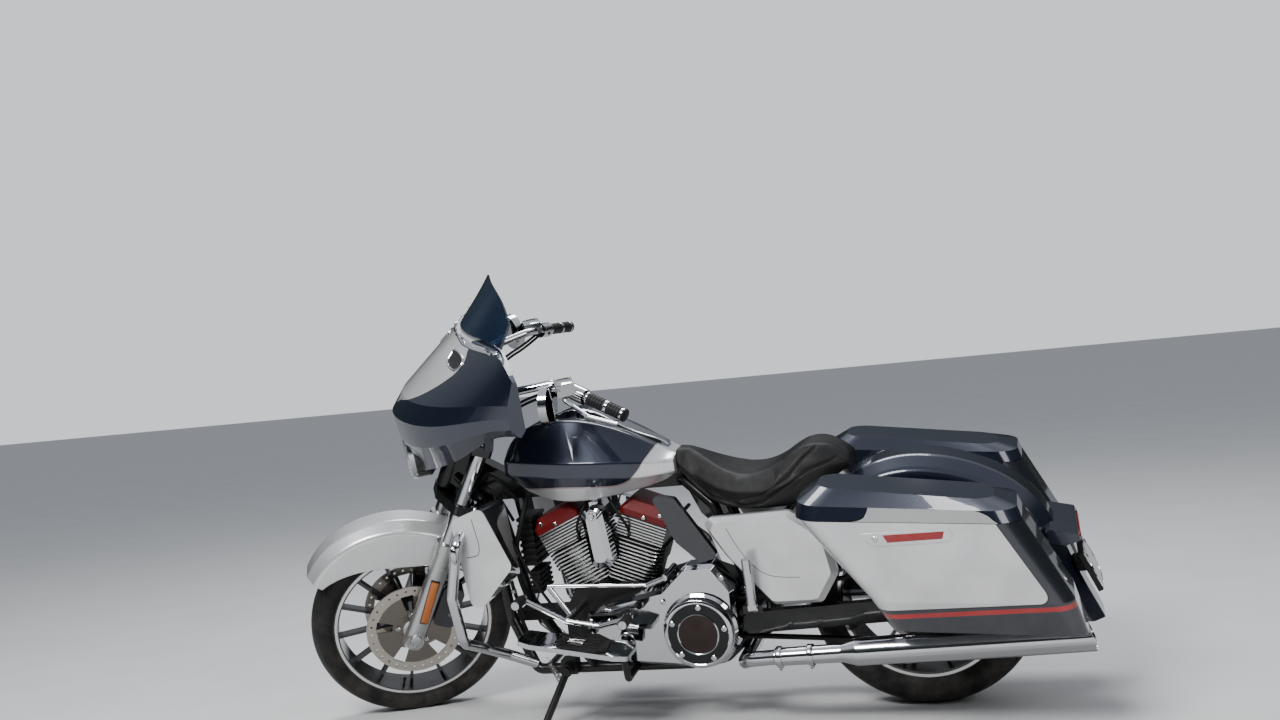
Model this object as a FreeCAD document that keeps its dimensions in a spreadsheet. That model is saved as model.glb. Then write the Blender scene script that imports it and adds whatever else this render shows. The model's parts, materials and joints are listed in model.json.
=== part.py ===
"""Touring cruiser motorcycle, leaning on its side stand with the steering on its left stop.

The motorcycle is drawn upright and straight: X forward from the rear axle, Y to its left and
Z up from the ground, in millimetres. At the end the front end is turned about the steering
head, the whole is leaned over, and its origin goes to the middle of its outline on the ground.
"""
import FreeCAD, Part
import math
import os
import types

import Sketcher
from FreeCAD import Placement, Rotation, Vector

os.makedirs("parts", exist_ok=True)
doc = FreeCAD.newDocument("touring_motorcycle")

# Name, value in millimetres or degrees
SIZES = [
    # Stance
    ("wheelbase", 1625),
    ("rake_angle", 26),
    ("fork_angle", 29.25),
    ("axle_offset", 13),
    ("lean_angle", 8),
    ("steering_stop", 30),
    # Wheels: tyre radius, tyre half width, crown, rim seat and flange, half width of the rim
    ("rear_tyre_radius", 327.6),
    ("rear_tyre_half", 88),
    ("rear_crown", 91),
    ("rear_rim_seat", 228.6),
    ("rear_flange", 242.6),
    ("rear_rim_half", 68),
    ("front_tyre_radius", 319),
    ("front_tyre_half", 64),
    ("front_crown", 67),
    ("front_rim_seat", 241.3),
    ("front_flange", 255),
    ("front_rim_half", 48),
    ("rim_wall", 6.5),
    ("spoke_count", 14),
    ("spoke_width", 10),
    ("spoke_half_depth", 13),
    ("hub_radius", 44),
    ("front_hub_half", 72.5),
    ("rear_hub_half", 60),
    ("axle_radius", 12.5),
    ("front_axle_half", 152),
    ("rear_axle_half", 176),
    # Brakes and drive
    ("disc_radius", 150),
    ("disc_ring", 30),
    ("disc_bore", 26),
    ("disc_thickness", 5),
    ("disc_window_depth", 52),
    ("disc_window_width", 40),
    ("disc_window_count", 5),
    ("disc_hole_radius", 3.5),
    ("disc_hole_count", 30),
    ("rear_disc_offset", 98),
    ("pulley_radius", 108),
    ("pulley_inner_face", 98),
    ("pulley_width", 26),
    ("drive_pulley_radius", 42),
    ("drive_pulley_x", 575),
    ("belt_thickness", 8),
    ("belt_gap", 1),
    # Front end
    ("leg_spread", 118),
    ("slider_radius", 32),
    ("slider_top", 330),
    ("slider_bottom", 34),
    ("fork_tube_radius", 24.5),
    ("fork_tube_top", 690),
    ("stem_radius", 15),
    ("head_bore", 16),
    ("head_radius", 32),
    ("head_bottom", 470),
    ("head_top", 632),
    ("clamp_gap", 5),
    ("clamp_thickness", 30),
    ("front_fender_half", 82),
    ("fender_wall", 4),
    ("fairing_wall", 6),
    ("screen_thickness", 5),
    ("headlamp_radius", 84),
    ("handlebar_radius", 12.7),
    ("grip_radius", 18),
    # Frame and rear suspension
    ("rail_half", 118),
    ("rail_radius", 16),
    ("rail_height", 178),
    ("backbone_bottom", 692),
    ("backbone_height", 74),
    ("backbone_half", 26),
    ("pivot_x", 470),
    ("pivot_height", 305),
    ("pivot_radius", 14),
    ("arm_inner", 132),
    ("arm_width", 28),
    ("arm_height", 62),
    ("subframe_half", 132),
    ("subframe_radius", 13),
    ("subframe_height", 606),
    ("shock_radius", 25),
    ("shock_spread", 150),
    # Engine
    ("crank_x", 915),
    ("crank_height", 285),
    ("vee_half_angle", 22.5),
    ("case_half", 95),
    ("gearbox_half", 64),
    ("barrel_radius", 62),
    ("fin_half", 79),
    ("fin_thickness", 4.5),
    ("fin_pitch", 11.5),
    ("fin_count", 12),
    ("barrel_start", 148),
    ("head_block_top", 352),
    ("rocker_top", 398),
    ("primary_inner", 128),
    ("primary_outer", 200),
    ("derby_x", 617),
    ("derby_height", 306),
    ("derby_radius", 100),
    ("derby_thickness", 26),
    ("rod_tube_radius", 9.0),
    ("rod_tube_room", 3.0),
    ("air_cleaner_radius", 88),
    ("air_cleaner_depth", 62),
    # Exhaust
    ("header_radius", 23),
    ("muffler_y", 262),
    ("muffler_end_y", 290),
    ("muffler_radius", 41),
    # Bodywork
    ("rear_fender_half", 112),
    ("bag_wall", 6),
    ("bag_split", 655),
    ("bag_split_slope", 0.083),
    ("lid_gap", 1.5),
    ("hinge_out", 472),
    ("door_thickness", 7),
    ("lamp_bar_half", 150),
    ("plate_width", 178),
    ("plate_height", 102),
    ("plate_x", -466),
    ("plate_middle", 384),
    ("plate_border", 6),
    ("plate_hole_drop", 12),
    ("plate_hole_room", 0.4),
    ("holder_thickness", 14),
    ("plate_thickness", 3),
    ("plate_slope", 22.7),
    ("plate_hole_radius", 3.2),
    ("plate_hole_spacing", 140),
    # Guards and controls
    ("guard_radius", 16),
    ("board_inner", 268),
    ("board_width", 122),
    ("board_thickness", 14),
    ("board_rear", 790),
    ("board_length", 328),
    ("board_rear_height", 286),
    ("board_slope", 10.4),
    ("hinge_pin_radius", 6),
    ("peg_radius", 14),
    ("peg_length", 132),
    ("stand_pivot_x", 1052),
    ("stand_pivot_y", 172),
    ("stand_pivot_height", 193),
    ("stand_foot_x", 1118),
    ("stand_foot_y", 262),
    ("stand_leg_radius", 11),
    ("stand_foot_radius", 24),
    ("fit_gap", 0.3),
]

sheet = doc.addObject("Spreadsheet::Sheet", "Sizes")
for row, (alias, value) in enumerate(SIZES, start=1):
    sheet.set(f"A{row}", alias)
    sheet.set(f"B{row}", str(value))
    sheet.setAlias(f"B{row}", alias)
doc.recompute()
size = types.SimpleNamespace(**{alias: float(sheet.get(alias)) for alias, value in SIZES})

ACROSS = Vector(0, 1, 0)
UP = Vector(0, 0, 1)
FORWARD = Vector(1, 0, 0)
CENTRE = Vector(0, 0, 0)

rake = math.radians(size.rake_angle)
fork_lean = math.radians(size.fork_angle)
REAR_HUB = Vector(0, 0, size.rear_tyre_radius)
FRONT_HUB = Vector(size.wheelbase, 0, size.front_tyre_radius)
STEERING_UP = Vector(-math.sin(rake), 0, math.cos(rake))
STEERING_FORWARD = Vector(math.cos(rake), 0, math.sin(rake))
STEERING_POINT = FRONT_HUB + STEERING_FORWARD * size.axle_offset
LEG_UP = Vector(-math.sin(fork_lean), 0, math.cos(fork_lean))


def v(x, y, z):
    return Vector(x, y, z)


def solid(shape):
    """The shape as a positive, merged solid or a compound of its solids."""
    if shape.Volume < 0:
        shape.reverse()
    pieces = [piece for piece in shape.Solids if piece.Volume > 1]
    return pieces[0] if len(pieces) == 1 else Part.makeCompound(pieces)


def fused(*shapes):
    first = shapes[0]
    whole = first.fuse(list(shapes[1:])) if len(shapes) > 1 else first
    return solid(whole.removeSplitter())


def largest(shape):
    return max(shape.Solids, key=lambda piece: piece.Volume)


def mirrored(shape):
    return shape.mirror(CENTRE, ACROSS)


def pair(shape):
    """A shape and its twin on the right side, as one compound."""
    return Part.makeCompound(shape.Solids + mirrored(shape).Solids)


def rounded(corners, radius):
    """A closed wire through the corners, each rounded by an arc of the given radius."""
    radii = radius if isinstance(radius, (list, tuple)) else [radius] * len(corners)
    ends = []
    for number, corner in enumerate(corners):
        back = (corners[number - 1] - corner).normalize()
        ahead = (corners[(number + 1) % len(corners)] - corner).normalize()
        half = back.getAngle(ahead) / 2
        reach = radii[number] / math.tan(half)
        inward = (back + ahead).normalize()
        middle = corner + inward * (radii[number] / math.sin(half) - radii[number])
        ends.append((corner + back * reach, middle, corner + ahead * reach))
    edges = []
    for number, (start, middle, end) in enumerate(ends):
        edges.append(Part.Arc(start, middle, end).toShape())
        edges.append(Part.makeLine(end, ends[(number + 1) % len(ends)][0]))
    return Part.Wire(edges)


def polygon(corners):
    return Part.makePolygon(list(corners) + [corners[0]])


def loft(wires, ruled=False):
    return solid(Part.makeLoft(wires, True, ruled))


def prism(outline, y_from, y_to, radius=0):
    """An outline of (x, z) corners, drawn out sideways from y_from to y_to."""
    corners = [v(x, y_from, z) for x, z in outline]
    wire = rounded(corners, radius) if radius else polygon(corners)
    return solid(Part.Face(wire).extrude(v(0, y_to - y_from, 0)))


def block(x_from, x_to, y_from, y_to, z_from, z_to):
    return Part.makeBox(x_to - x_from, y_to - y_from, z_to - z_from, v(x_from, y_from, z_from))


def bar(start, end, radius):
    """A round bar between two points."""
    run = end - start
    return Part.makeCylinder(radius, run.Length, start, run)


def tube(points, radius, bend):
    """A round tube through the points, straight runs joined by tangent arcs."""
    route = [v(*point) for point in points]
    edges = []
    start = route[0]
    for before, corner, after in zip(route, route[1:], route[2:]):
        back = (before - corner).normalize()
        ahead = (after - corner).normalize()
        half = back.getAngle(ahead) / 2
        reach = bend / math.tan(half)
        inward = (back + ahead).normalize()
        middle = corner + inward * (bend / math.sin(half) - bend)
        edges.append(Part.makeLine(start, corner + back * reach))
        edges.append(Part.Arc(corner + back * reach, middle, corner + ahead * reach).toShape())
        start = corner + ahead * reach
    edges.append(Part.makeLine(start, route[-1]))
    circle = Part.Wire(Part.makeCircle(radius, route[0], route[1] - route[0]))
    return solid(Part.Wire(edges).makePipeShell([circle], True, False))


def lathe(profile, start, axis):
    """A profile of (distance along the axis, radius) corners, turned about the axis."""
    axis = Vector(axis).normalize()
    side = axis.cross(v(0.31, 0.2, 0.93)).normalize()
    corners = [start + axis * along + side * radius for along, radius in profile]
    return solid(Part.Face(polygon(corners)).revolve(start, axis, 360))


def x_section(x, corners, radius):
    """A rounded outline of (y, z) corners at one place along the machine."""
    return rounded([v(x, y, z) for y, z in corners], radius)


def leg_point(along, y):
    """A point of the fork leg, measured up the leg from the axle."""
    return FRONT_HUB + LEG_UP * along + ACROSS * y


def head_point(along):
    """A point of the steering axis, measured up from the foot of the axle's offset."""
    return STEERING_POINT + STEERING_UP * along


def origin_plane(body, role):
    return next(item for item in body.Origin.OriginFeatures if item.Role == role)


def bound_circle(sketch, radius_name, distance_name=None):
    """A circle of the sketch with its radius, and its height over the centre, from the sheet."""
    radius = getattr(size, radius_name)
    height = getattr(size, distance_name) if distance_name else 0
    circle = sketch.addGeometry(Part.Circle(v(0, height, 0), v(0, 0, 1), radius), False)
    number = sketch.addConstraint(Sketcher.Constraint("Radius", circle, radius))
    sketch.setExpression(f"Constraints[{number}]", f"Sizes.{radius_name}")
    if distance_name:
        sketch.addConstraint(Sketcher.Constraint("PointOnObject", circle, 3, -2))
        number = sketch.addConstraint(Sketcher.Constraint("DistanceY", -1, 1, circle, 3, height))
        sketch.setExpression(f"Constraints[{number}]", f"Sizes.{distance_name}")
    else:
        sketch.addConstraint(Sketcher.Constraint("Coincident", circle, 3, -1, 1))


def body_sketch(body, name, role="XY_Plane"):
    sketch = body.newObject("Sketcher::SketchObject", name)
    sketch.AttachmentSupport = [(origin_plane(body, role), "")]
    sketch.MapMode = "FlatFace"
    return sketch


def round_body(name, radius_name, thickness_name, bore_name=None):
    """A turned plate with its flat side on the body's own base plane."""
    body = doc.addObject("PartDesign::Body", name)
    sketch = body_sketch(body, name + "_outline")
    bound_circle(sketch, radius_name)
    if bore_name:
        bound_circle(sketch, bore_name)
    pad = body.newObject("PartDesign::Pad", name + "_pad")
    pad.Profile = sketch
    pad.setExpression("Length", f"Sizes.{thickness_name}")
    doc.recompute()
    return body


def ring_of_pockets(body, name, sketch, count_name):
    """A pocket through the body, repeated round its axis as often as the sheet says."""
    pocket = body.newObject("PartDesign::Pocket", name)
    pocket.Profile = sketch
    pocket.Type = "ThroughAll"
    pocket.Midplane = True
    pattern = body.newObject("PartDesign::PolarPattern", name + "_ring")
    pattern.Originals = [pocket]
    pattern.Axis = (origin_plane(body, "Z_Axis"), [""])
    pattern.Angle = 360
    pattern.setExpression("Occurrences", f"Sizes.{count_name}")
    body.Tip = pattern
    doc.recompute()


CHASSIS, FRONT_END = "chassis", "front_end"
nodes = {}


def node(name, shape, group=CHASSIS):
    """A sub-part whose form is set from the sheet's sizes."""
    item = doc.addObject("Part::Feature", name)
    item.Shape = shape
    register(name, item, group)
    return item


def register(name, item, group=CHASSIS):
    item.Label = name
    nodes[name] = (item, group)


def shape_of(name):
    return nodes[name][0].Shape


def cut_by(shape, *names):
    """The shape without the room that the named sub-parts take."""
    return solid(shape.cut([shape_of(name) for name in names]))


TO_ACROSS = Rotation(FORWARD, -90)


# Wheels

def tyre(centre, radius, half, crown, seat, flange, rim_half):
    """A tyre: bead between the rim's flanges, sidewalls, and a round crown."""
    bead = rim_half - size.rim_wall - size.fit_gap
    shoulder = radius - crown + math.sqrt(crown ** 2 - half ** 2)
    left = [(-bead, seat), (-bead, flange + 1), (-rim_half, flange + 3), (-half, shoulder)]
    right = [(-y, r) for y, r in reversed(left)]
    points = [centre + v(r, y, 0) for y, r in left + right]
    edges = [Part.makeLine(a, b) for a, b in zip(points[:4], points[1:4])]
    edges.append(Part.Arc(points[3], centre + v(radius, 0, 0), points[4]).toShape())
    edges += [Part.makeLine(a, b) for a, b in zip(points[4:], points[5:] + points[:1])]
    return solid(Part.Face(Part.Wire(edges)).revolve(centre, ACROSS, 360))


def rim_and_spokes(centre, seat, flange, rim_half, hub_half):
    """A rim with its flanges, a hub, and a ring of straight spokes between them."""
    wall = size.rim_wall
    outer = seat - size.fit_gap
    inner = outer - wall
    ring = [(-rim_half, inner), (rim_half, inner), (rim_half, flange), (rim_half - wall, flange),
            (rim_half - wall, outer), (wall - rim_half, outer), (wall - rim_half, flange),
            (-rim_half, flange)]
    rim = lathe(ring, centre, ACROSS)
    bore = size.axle_radius + size.fit_gap
    hub = lathe([(-hub_half, bore), (hub_half, bore), (hub_half, size.hub_radius),
                 (-hub_half, size.hub_radius)], centre, ACROSS)
    reach = inner + wall / 2 - size.hub_radius / 2
    spoke = Part.makeBox(reach, 2 * size.spoke_half_depth, size.spoke_width,
                         centre + v(size.hub_radius / 2 + 8, -size.spoke_half_depth,
                                    -size.spoke_width / 2))
    spokes = []
    for number in range(int(size.spoke_count)):
        turned = spoke.copy()
        turned.rotate(centre, ACROSS, 360 * number / size.spoke_count)
        spokes.append(turned)
    spider = hub.fuse(spokes).common(lathe([(-hub_half, bore), (hub_half, bore),
                                            (hub_half, inner + wall / 2),
                                            (-hub_half, inner + wall / 2)], centre, ACROSS))
    return fused(rim, spider)


def make_wheels():
    node("rear_tyre", tyre(REAR_HUB, size.rear_tyre_radius, size.rear_tyre_half,
                           size.rear_crown, size.rear_rim_seat, size.rear_flange,
                           size.rear_rim_half))
    node("front_tyre", tyre(FRONT_HUB, size.front_tyre_radius, size.front_tyre_half,
                            size.front_crown, size.front_rim_seat, size.front_flange,
                            size.front_rim_half), FRONT_END)
    node("rear_wheel", rim_and_spokes(REAR_HUB, size.rear_rim_seat, size.rear_flange,
                                      size.rear_rim_half, size.rear_hub_half))
    node("front_wheel", rim_and_spokes(FRONT_HUB, size.front_rim_seat, size.front_flange,
                                       size.front_rim_half, size.front_hub_half), FRONT_END)


def brake_disc_body(name):
    """A drilled brake disc on a five-armed carrier, flat side on its own base plane."""
    body = round_body(name, "disc_radius", "disc_thickness", "disc_bore")
    window = body_sketch(body, name + "_window")
    near = size.disc_radius - size.disc_ring - size.disc_window_depth
    far = size.disc_radius - size.disc_ring
    half = size.disc_window_width / 2
    corners = [v(-half * 0.6, near, 0), v(half * 0.6, near, 0), v(half, far, 0), v(-half, far, 0)]
    for start, end in zip(corners, corners[1:] + corners[:1]):
        window.addGeometry(Part.LineSegment(start, end), False)
    ring_of_pockets(body, name + "_windows", window, "disc_window_count")
    hole = body_sketch(body, name + "_hole")
    middle = size.disc_radius - size.disc_ring / 2
    hole.addGeometry(Part.Circle(v(0, middle, 0), v(0, 0, 1), size.disc_hole_radius), False)
    ring_of_pockets(body, name + "_holes", hole, "disc_hole_count")
    return body


def make_brakes_and_drive():
    left = brake_disc_body("front_disc_left")
    left.Placement = Placement(FRONT_HUB + ACROSS * (size.front_hub_half + size.disc_thickness),
                               Rotation(FORWARD, 90))
    right = doc.addObject("Part::Mirroring", "front_disc_right")
    right.Source = left
    right.Normal = ACROSS
    both = doc.addObject("Part::Compound", "front_discs")
    both.Links = [left, right]
    register("front_discs", both, FRONT_END)

    bore = size.axle_radius + size.fit_gap
    inner = size.pulley_inner_face
    outer = inner + size.pulley_width
    rim = size.pulley_radius
    web = 30
    pulley = lathe([(size.rear_hub_half, bore), (outer - 4, bore), (outer - 4, web),
                    (outer - 10, web), (outer - 10, rim - 16), (outer, rim - 12), (outer, rim),
                    (inner, rim), (inner, rim - 12), (outer - 18, rim - 16), (outer - 18, 44),
                    (size.rear_hub_half, 44)], REAR_HUB, ACROSS)
    disc_face = size.rear_disc_offset
    disc = lathe([(size.rear_hub_half, bore), (disc_face + 5, bore),
                  (disc_face + 5, size.disc_radius - 4), (disc_face, size.disc_radius - 4),
                  (disc_face, 40), (size.rear_hub_half, 40)], REAR_HUB, -ACROSS)
    node("rear_drive", Part.makeCompound([pulley, disc]))

    outer_gap = size.belt_gap
    middle = inner + size.pulley_width / 2
    half = size.pulley_width / 2 - 1
    rear_inside = size.pulley_radius + outer_gap
    front_inside = size.drive_pulley_radius + outer_gap
    outside = belt_loop(rear_inside + size.belt_thickness, front_inside + size.belt_thickness,
                        middle - half, 2 * half)
    inside = belt_loop(rear_inside, front_inside, middle - half - 1, 2 * half + 2)
    node("drive_belt", solid(outside.cut(inside)))


def belt_loop(rear_radius, front_radius, y_from, width):
    """The outline of a loop round the two pulleys, drawn out sideways."""
    front = v(size.drive_pulley_x, 0, size.pivot_height)
    run = front - REAR_HUB
    tilt = math.atan2(run.z, run.x)
    spread = math.acos((rear_radius - front_radius) / run.Length)

    def on(centre, radius, angle):
        return centre + v(math.cos(angle) * radius, y_from, math.sin(angle) * radius)

    rear_top = on(REAR_HUB, rear_radius, tilt + spread)
    rear_back = on(REAR_HUB, rear_radius, tilt + math.pi)
    rear_low = on(REAR_HUB, rear_radius, tilt - spread)
    front_top = on(front, front_radius, tilt + spread)
    front_nose = on(front, front_radius, tilt)
    front_low = on(front, front_radius, tilt - spread)
    wire = Part.Wire([Part.Arc(rear_top, rear_back, rear_low).toShape(),
                      Part.makeLine(rear_low, front_low),
                      Part.Arc(front_low, front_nose, front_top).toShape(),
                      Part.makeLine(front_top, rear_top)])
    return solid(Part.Face(wire).extrude(ACROSS * width))


# Front end

def make_fork():
    spread = size.leg_spread
    axle = bar(FRONT_HUB - ACROSS * size.front_axle_half,
               FRONT_HUB + ACROSS * size.front_axle_half, size.axle_radius)
    collar_from = size.front_hub_half + size.disc_thickness + 1
    collar = bar(FRONT_HUB + ACROSS * collar_from,
                 FRONT_HUB + ACROSS * (spread - size.slider_radius), size.axle_radius + 7)
    axle = fused(axle, collar, mirrored(collar))
    slider = bar(leg_point(-size.slider_bottom, spread), leg_point(size.slider_top, spread),
                 size.slider_radius)
    foot = bar(leg_point(-8, spread - size.slider_radius), leg_point(-8, spread + 30), 27)
    dust_cap = bar(leg_point(size.slider_top - 26, spread), leg_point(size.slider_top, spread),
                   size.slider_radius + 4)
    lug_from = size.front_fender_half
    lug_at = leg_point(212, 0)
    lug = block(lug_at.x - 30, lug_at.x + 30, lug_from, spread, lug_at.z - 22, lug_at.z + 22)
    slider = fused(slider, foot, dust_cap, lug)
    slider = solid(slider.cut(axle))
    node("fork_sliders", pair(slider), FRONT_END)
    node("front_axle", axle, FRONT_END)
    leg = bar(leg_point(size.slider_top, spread), leg_point(size.fork_tube_top, spread),
              size.fork_tube_radius)
    node("fork_tubes", pair(leg), FRONT_END)


def clamp_plate(along):
    """A fork clamp across both legs, square to the steering axis."""
    turn = Rotation(ACROSS, -size.rake_angle)
    back, front, half = 82, 30, size.leg_spread + 34
    corners = [v(-back, -half, 0), v(-back, half, 0), v(-18, half, 0), v(front, 40, 0),
               v(front, -40, 0), v(-18, -half, 0)]
    face = Part.Face(rounded(corners, 14))
    plate = face.extrude(v(0, 0, size.clamp_thickness))
    plate.Placement = Placement(head_point(along), turn)
    return plate


def make_clamps():
    lower_at = size.head_bottom - size.clamp_gap - size.clamp_thickness
    upper_at = size.head_top + size.clamp_gap
    stem = bar(head_point(lower_at), head_point(upper_at), size.stem_radius)
    clamps = fused(clamp_plate(lower_at), clamp_plate(upper_at), stem)
    node("triple_clamps", cut_by(clamps, "fork_tubes"), FRONT_END)


# Angle round the wheel, outer radius, lower edge's radius
FRONT_FENDER_RIBS = [(41, 376, 322), (62, 384, 270), (90, 370, 224), (116, 353, 230),
                     (142, 352, 300)]


def fender_section(centre, angle, outer, lower, half, shoulder):
    """One rib of a fender: a flat-topped hoop standing on the line from the axle."""
    turn = math.radians(angle)
    away = v(math.cos(turn), 0, math.sin(turn))
    crown = outer - shoulder
    points = [(lower, -half), (crown, -half), (outer, -half + 1.6 * shoulder),
              (outer, half - 1.6 * shoulder), (crown, half), (lower, half)]
    corners = [centre + away * radius + ACROSS * y for radius, y in points]
    return rounded(corners, [3, shoulder * 0.8, shoulder * 0.8, shoulder * 0.8,
                             shoulder * 0.8, 3])


def fender(centre, ribs, half, wall, shoulder):
    """A fender shell: the outer hoops lofted, less the same hoops inset by the wall."""
    outside = loft([fender_section(centre, angle, outer, lower, half, shoulder)
                    for angle, outer, lower in ribs])
    first, last = ribs[0], ribs[-1]
    longer = [(first[0] - 4,) + first[1:]] + ribs[1:-1] + [(last[0] + 4,) + last[1:]]
    inside = loft([fender_section(centre, angle, outer - wall, lower - 40, half - wall,
                                  shoulder - 1) for angle, outer, lower in longer])
    return largest(outside.cut(inside))


def make_front_fender():
    shell = fender(FRONT_HUB, FRONT_FENDER_RIBS, size.front_fender_half, size.fender_wall, 26)
    node("front_fender", cut_by(shell, "fork_sliders"), FRONT_END)


def make_calipers():
    gap = 3
    disc_in = size.front_hub_half - gap
    disc_out = size.front_hub_half + size.disc_thickness + gap
    turn = math.radians(152)
    middle = FRONT_HUB + v(math.cos(turn), 0, math.sin(turn)) * (size.disc_radius - 14)
    body = prism([(middle.x - 34, middle.z - 66), (middle.x + 34, middle.z - 66),
                  (middle.x + 34, middle.z + 66), (middle.x - 34, middle.z + 66)],
                 disc_in - 15, disc_out + 34, 16)
    body.rotate(middle, ACROSS, -size.fork_angle)
    slot = bar(FRONT_HUB + ACROSS * disc_in, FRONT_HUB + ACROSS * disc_out,
               size.disc_radius + 8)
    node("front_calipers", pair(largest(cut_by(body.cut(slot), "fork_sliders"))), FRONT_END)


# Distance out, then (x, z) of the lower edge, chin, lower nose, upper nose, brow and top,
# and of the rear edge's top and foot
FAIRING_RIBS = [
    (0, (1470, 796), (1500, 812), (1536, 945), (1542, 1026), (1502, 1076), (1299, 1239),
     (1262, 1236), (1404, 800)),
    (150, (1383, 816), (1424, 836), (1486, 950), (1492, 1026), (1452, 1080), (1262, 1236),
     (1228, 1233), (1340, 822)),
    (290, (1288, 940), (1316, 955), (1362, 1000), (1366, 1050), (1338, 1098), (1214, 1222),
     (1192, 1218), (1262, 948)),
    (400, (1200, 1010), (1210, 1016), (1226, 1040), (1229, 1074), (1222, 1112), (1197, 1180),
     (1184, 1172), (1184, 1030)),
]


def fairing_rib(y, corners, inset):
    """A rib of the fairing, or of its hollow when inset by the wall and open to the rear."""
    low, chin, nose_low, nose_high, brow, top, rear_top, rear_low = corners
    wall = size.fairing_wall * inset
    back = 90 * inset
    points = [(low[0], low[1] - back / 2), (chin[0] - wall, chin[1] - back / 3),
              (nose_low[0] - wall, nose_low[1]), (nose_high[0] - wall, nose_high[1]),
              (brow[0] - wall, brow[1] - wall), (top[0] - wall, top[1] - wall),
              (rear_top[0] - back, rear_top[1] - wall), (rear_low[0] - back, rear_low[1] - back / 2)]
    return polygon([v(x, y, z) for x, z in points])


def fairing_loft(inset, reach):
    """The fairing's outside, or its hollow, through the ribs from one wing to the other."""
    ribs = [(row[0] * reach, row[1:]) for row in FAIRING_RIBS]
    sides = [(-y, corners) for y, corners in reversed(ribs[1:])] + ribs
    return loft([fairing_rib(y, corners, inset) for y, corners in sides])


def make_fairing():
    outside = fairing_loft(0, 1)
    hollow = fairing_loft(1, 1 - 1.4 * size.fairing_wall / FAIRING_RIBS[-1][0])
    lamp_at = v(1512, 0, 880)
    lamp_hole = bar(lamp_at - FORWARD * 120, lamp_at + FORWARD * 60,
                    size.headlamp_radius + size.fit_gap)
    shell = largest(outside.cut(hollow).cut(lamp_hole))
    node("fairing_shell", shell, FRONT_END)
    radius = size.headlamp_radius
    lamp = lathe([(-86, 0), (-86, radius * 0.5), (-46, radius), (6, radius),
                  (14, radius - 8), (22, radius * 0.5), (25, 0)], lamp_at, FORWARD)
    node("headlamp", lamp, FRONT_END)
    slab = prism([(1262, 950), (1284, 950), (1262, 1300), (1240, 1300)], -330, 330)
    slab.rotate(v(1262, 0, 1100), ACROSS, -8)
    panel = largest(hollow.common(slab))
    bar_slots = tube(HANDLEBAR_ROUTE, size.handlebar_radius + 8, 60)
    panel = largest(panel.cut([bar_slots, mirrored(bar_slots)]))
    dials = []
    # Sideways place, height, radius of each dial
    for y, z, radius in [(58, 1162, 44), (-58, 1162, 44), (158, 1150, 30), (-158, 1150, 30)]:
        at = v(1246, y, z)
        dials.append(bar(at - FORWARD * 22, at + FORWARD * 14, radius))
    screen = block(1206, 1262, -78, 78, 1040, 1108)
    panel = fused(panel, screen, *dials)
    node("inner_fairing", largest(panel.cut(shell)), FRONT_END)


HANDLEBAR_ROUTE = [(1322, 0, 962), (1316, 105, 972), (1205, 225, 1085), (1062, 262, 1098),
                   (905, 446, 1026)]


# Distance out, then (x, z) of the screen's foot and top
SCREEN_RIBS = [(0, (1288, 1246), (1174, 1362)), (130, (1254, 1243), (1168, 1352)),
               (255, (1202, 1234), (1166, 1300))]


def make_screen():
    depth = size.screen_thickness
    ribs = [(-y, foot, top) for y, foot, top in reversed(SCREEN_RIBS[1:])] + SCREEN_RIBS
    wires = []
    for y, (foot_x, foot_z), (top_x, top_z) in ribs:
        wires.append(polygon([v(foot_x, y, foot_z), v(top_x, y, top_z),
                              v(top_x - depth, y, top_z - depth),
                              v(foot_x - depth, y, foot_z - depth)]))
    screen = cut_by(loft(wires), "fairing_shell", "inner_fairing")
    node("windscreen", largest(screen), FRONT_END)


def make_handlebar():
    left = tube(HANDLEBAR_ROUTE, size.handlebar_radius, 60)
    riser_top = v(1322, 60, 962)
    riser = bar(head_point(size.head_top + size.clamp_gap + size.clamp_thickness / 2)
                + ACROSS * 45, riser_top - v(0, 15, 0), 16)
    half = fused(left, riser)
    whole = fused(half, mirrored(half))
    node("handlebar", largest(cut_by(whole, "triple_clamps", "inner_fairing")), FRONT_END)

    start, end = v(1062, 262, 1098), v(905, 446, 1026)
    along = (end - start).normalize()
    bore = bar(start, end + along * 40, size.handlebar_radius + size.fit_gap)
    grip = bar(start + along * 118, end + along * 2, size.grip_radius)
    switch = bar(start + along * 62, start + along * 112, 24)
    lever_root = start + along * 74
    reservoir = block(lever_root.x + 2, lever_root.x + 56, lever_root.y - 36, lever_root.y + 26,
                      lever_root.z + 4, lever_root.z + 38)
    lever = tube([tuple(lever_root + v(12, 0, -4)), tuple(lever_root + v(42, 26, -4)),
                  tuple(lever_root + v(-10, 120, -34)), tuple(end + v(30, 34, -6))], 6, 12)
    switchgear = fused(switch, reservoir, lever)
    grip = largest(cut_by(grip.cut([bore, switchgear]), "handlebar"))
    switchgear = largest(cut_by(switchgear.cut(bore), "handlebar"))
    node("grips", pair(grip), FRONT_END)
    node("hand_controls", pair(switchgear), FRONT_END)

    stalk = tube([tuple(start + along * 86 + v(14, 0, 12)), (1110, 350, 1120), (1122, 362, 1108)],
                 6, 8)
    glass = bar(v(1096, 372, 1078), v(1118, 362, 1078), 58)
    mirror = fused(stalk, glass)
    node("mirrors", pair(largest(cut_by(mirror, "hand_controls", "handlebar", "grips"))),
         FRONT_END)


# Frame, suspension and engine

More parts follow.
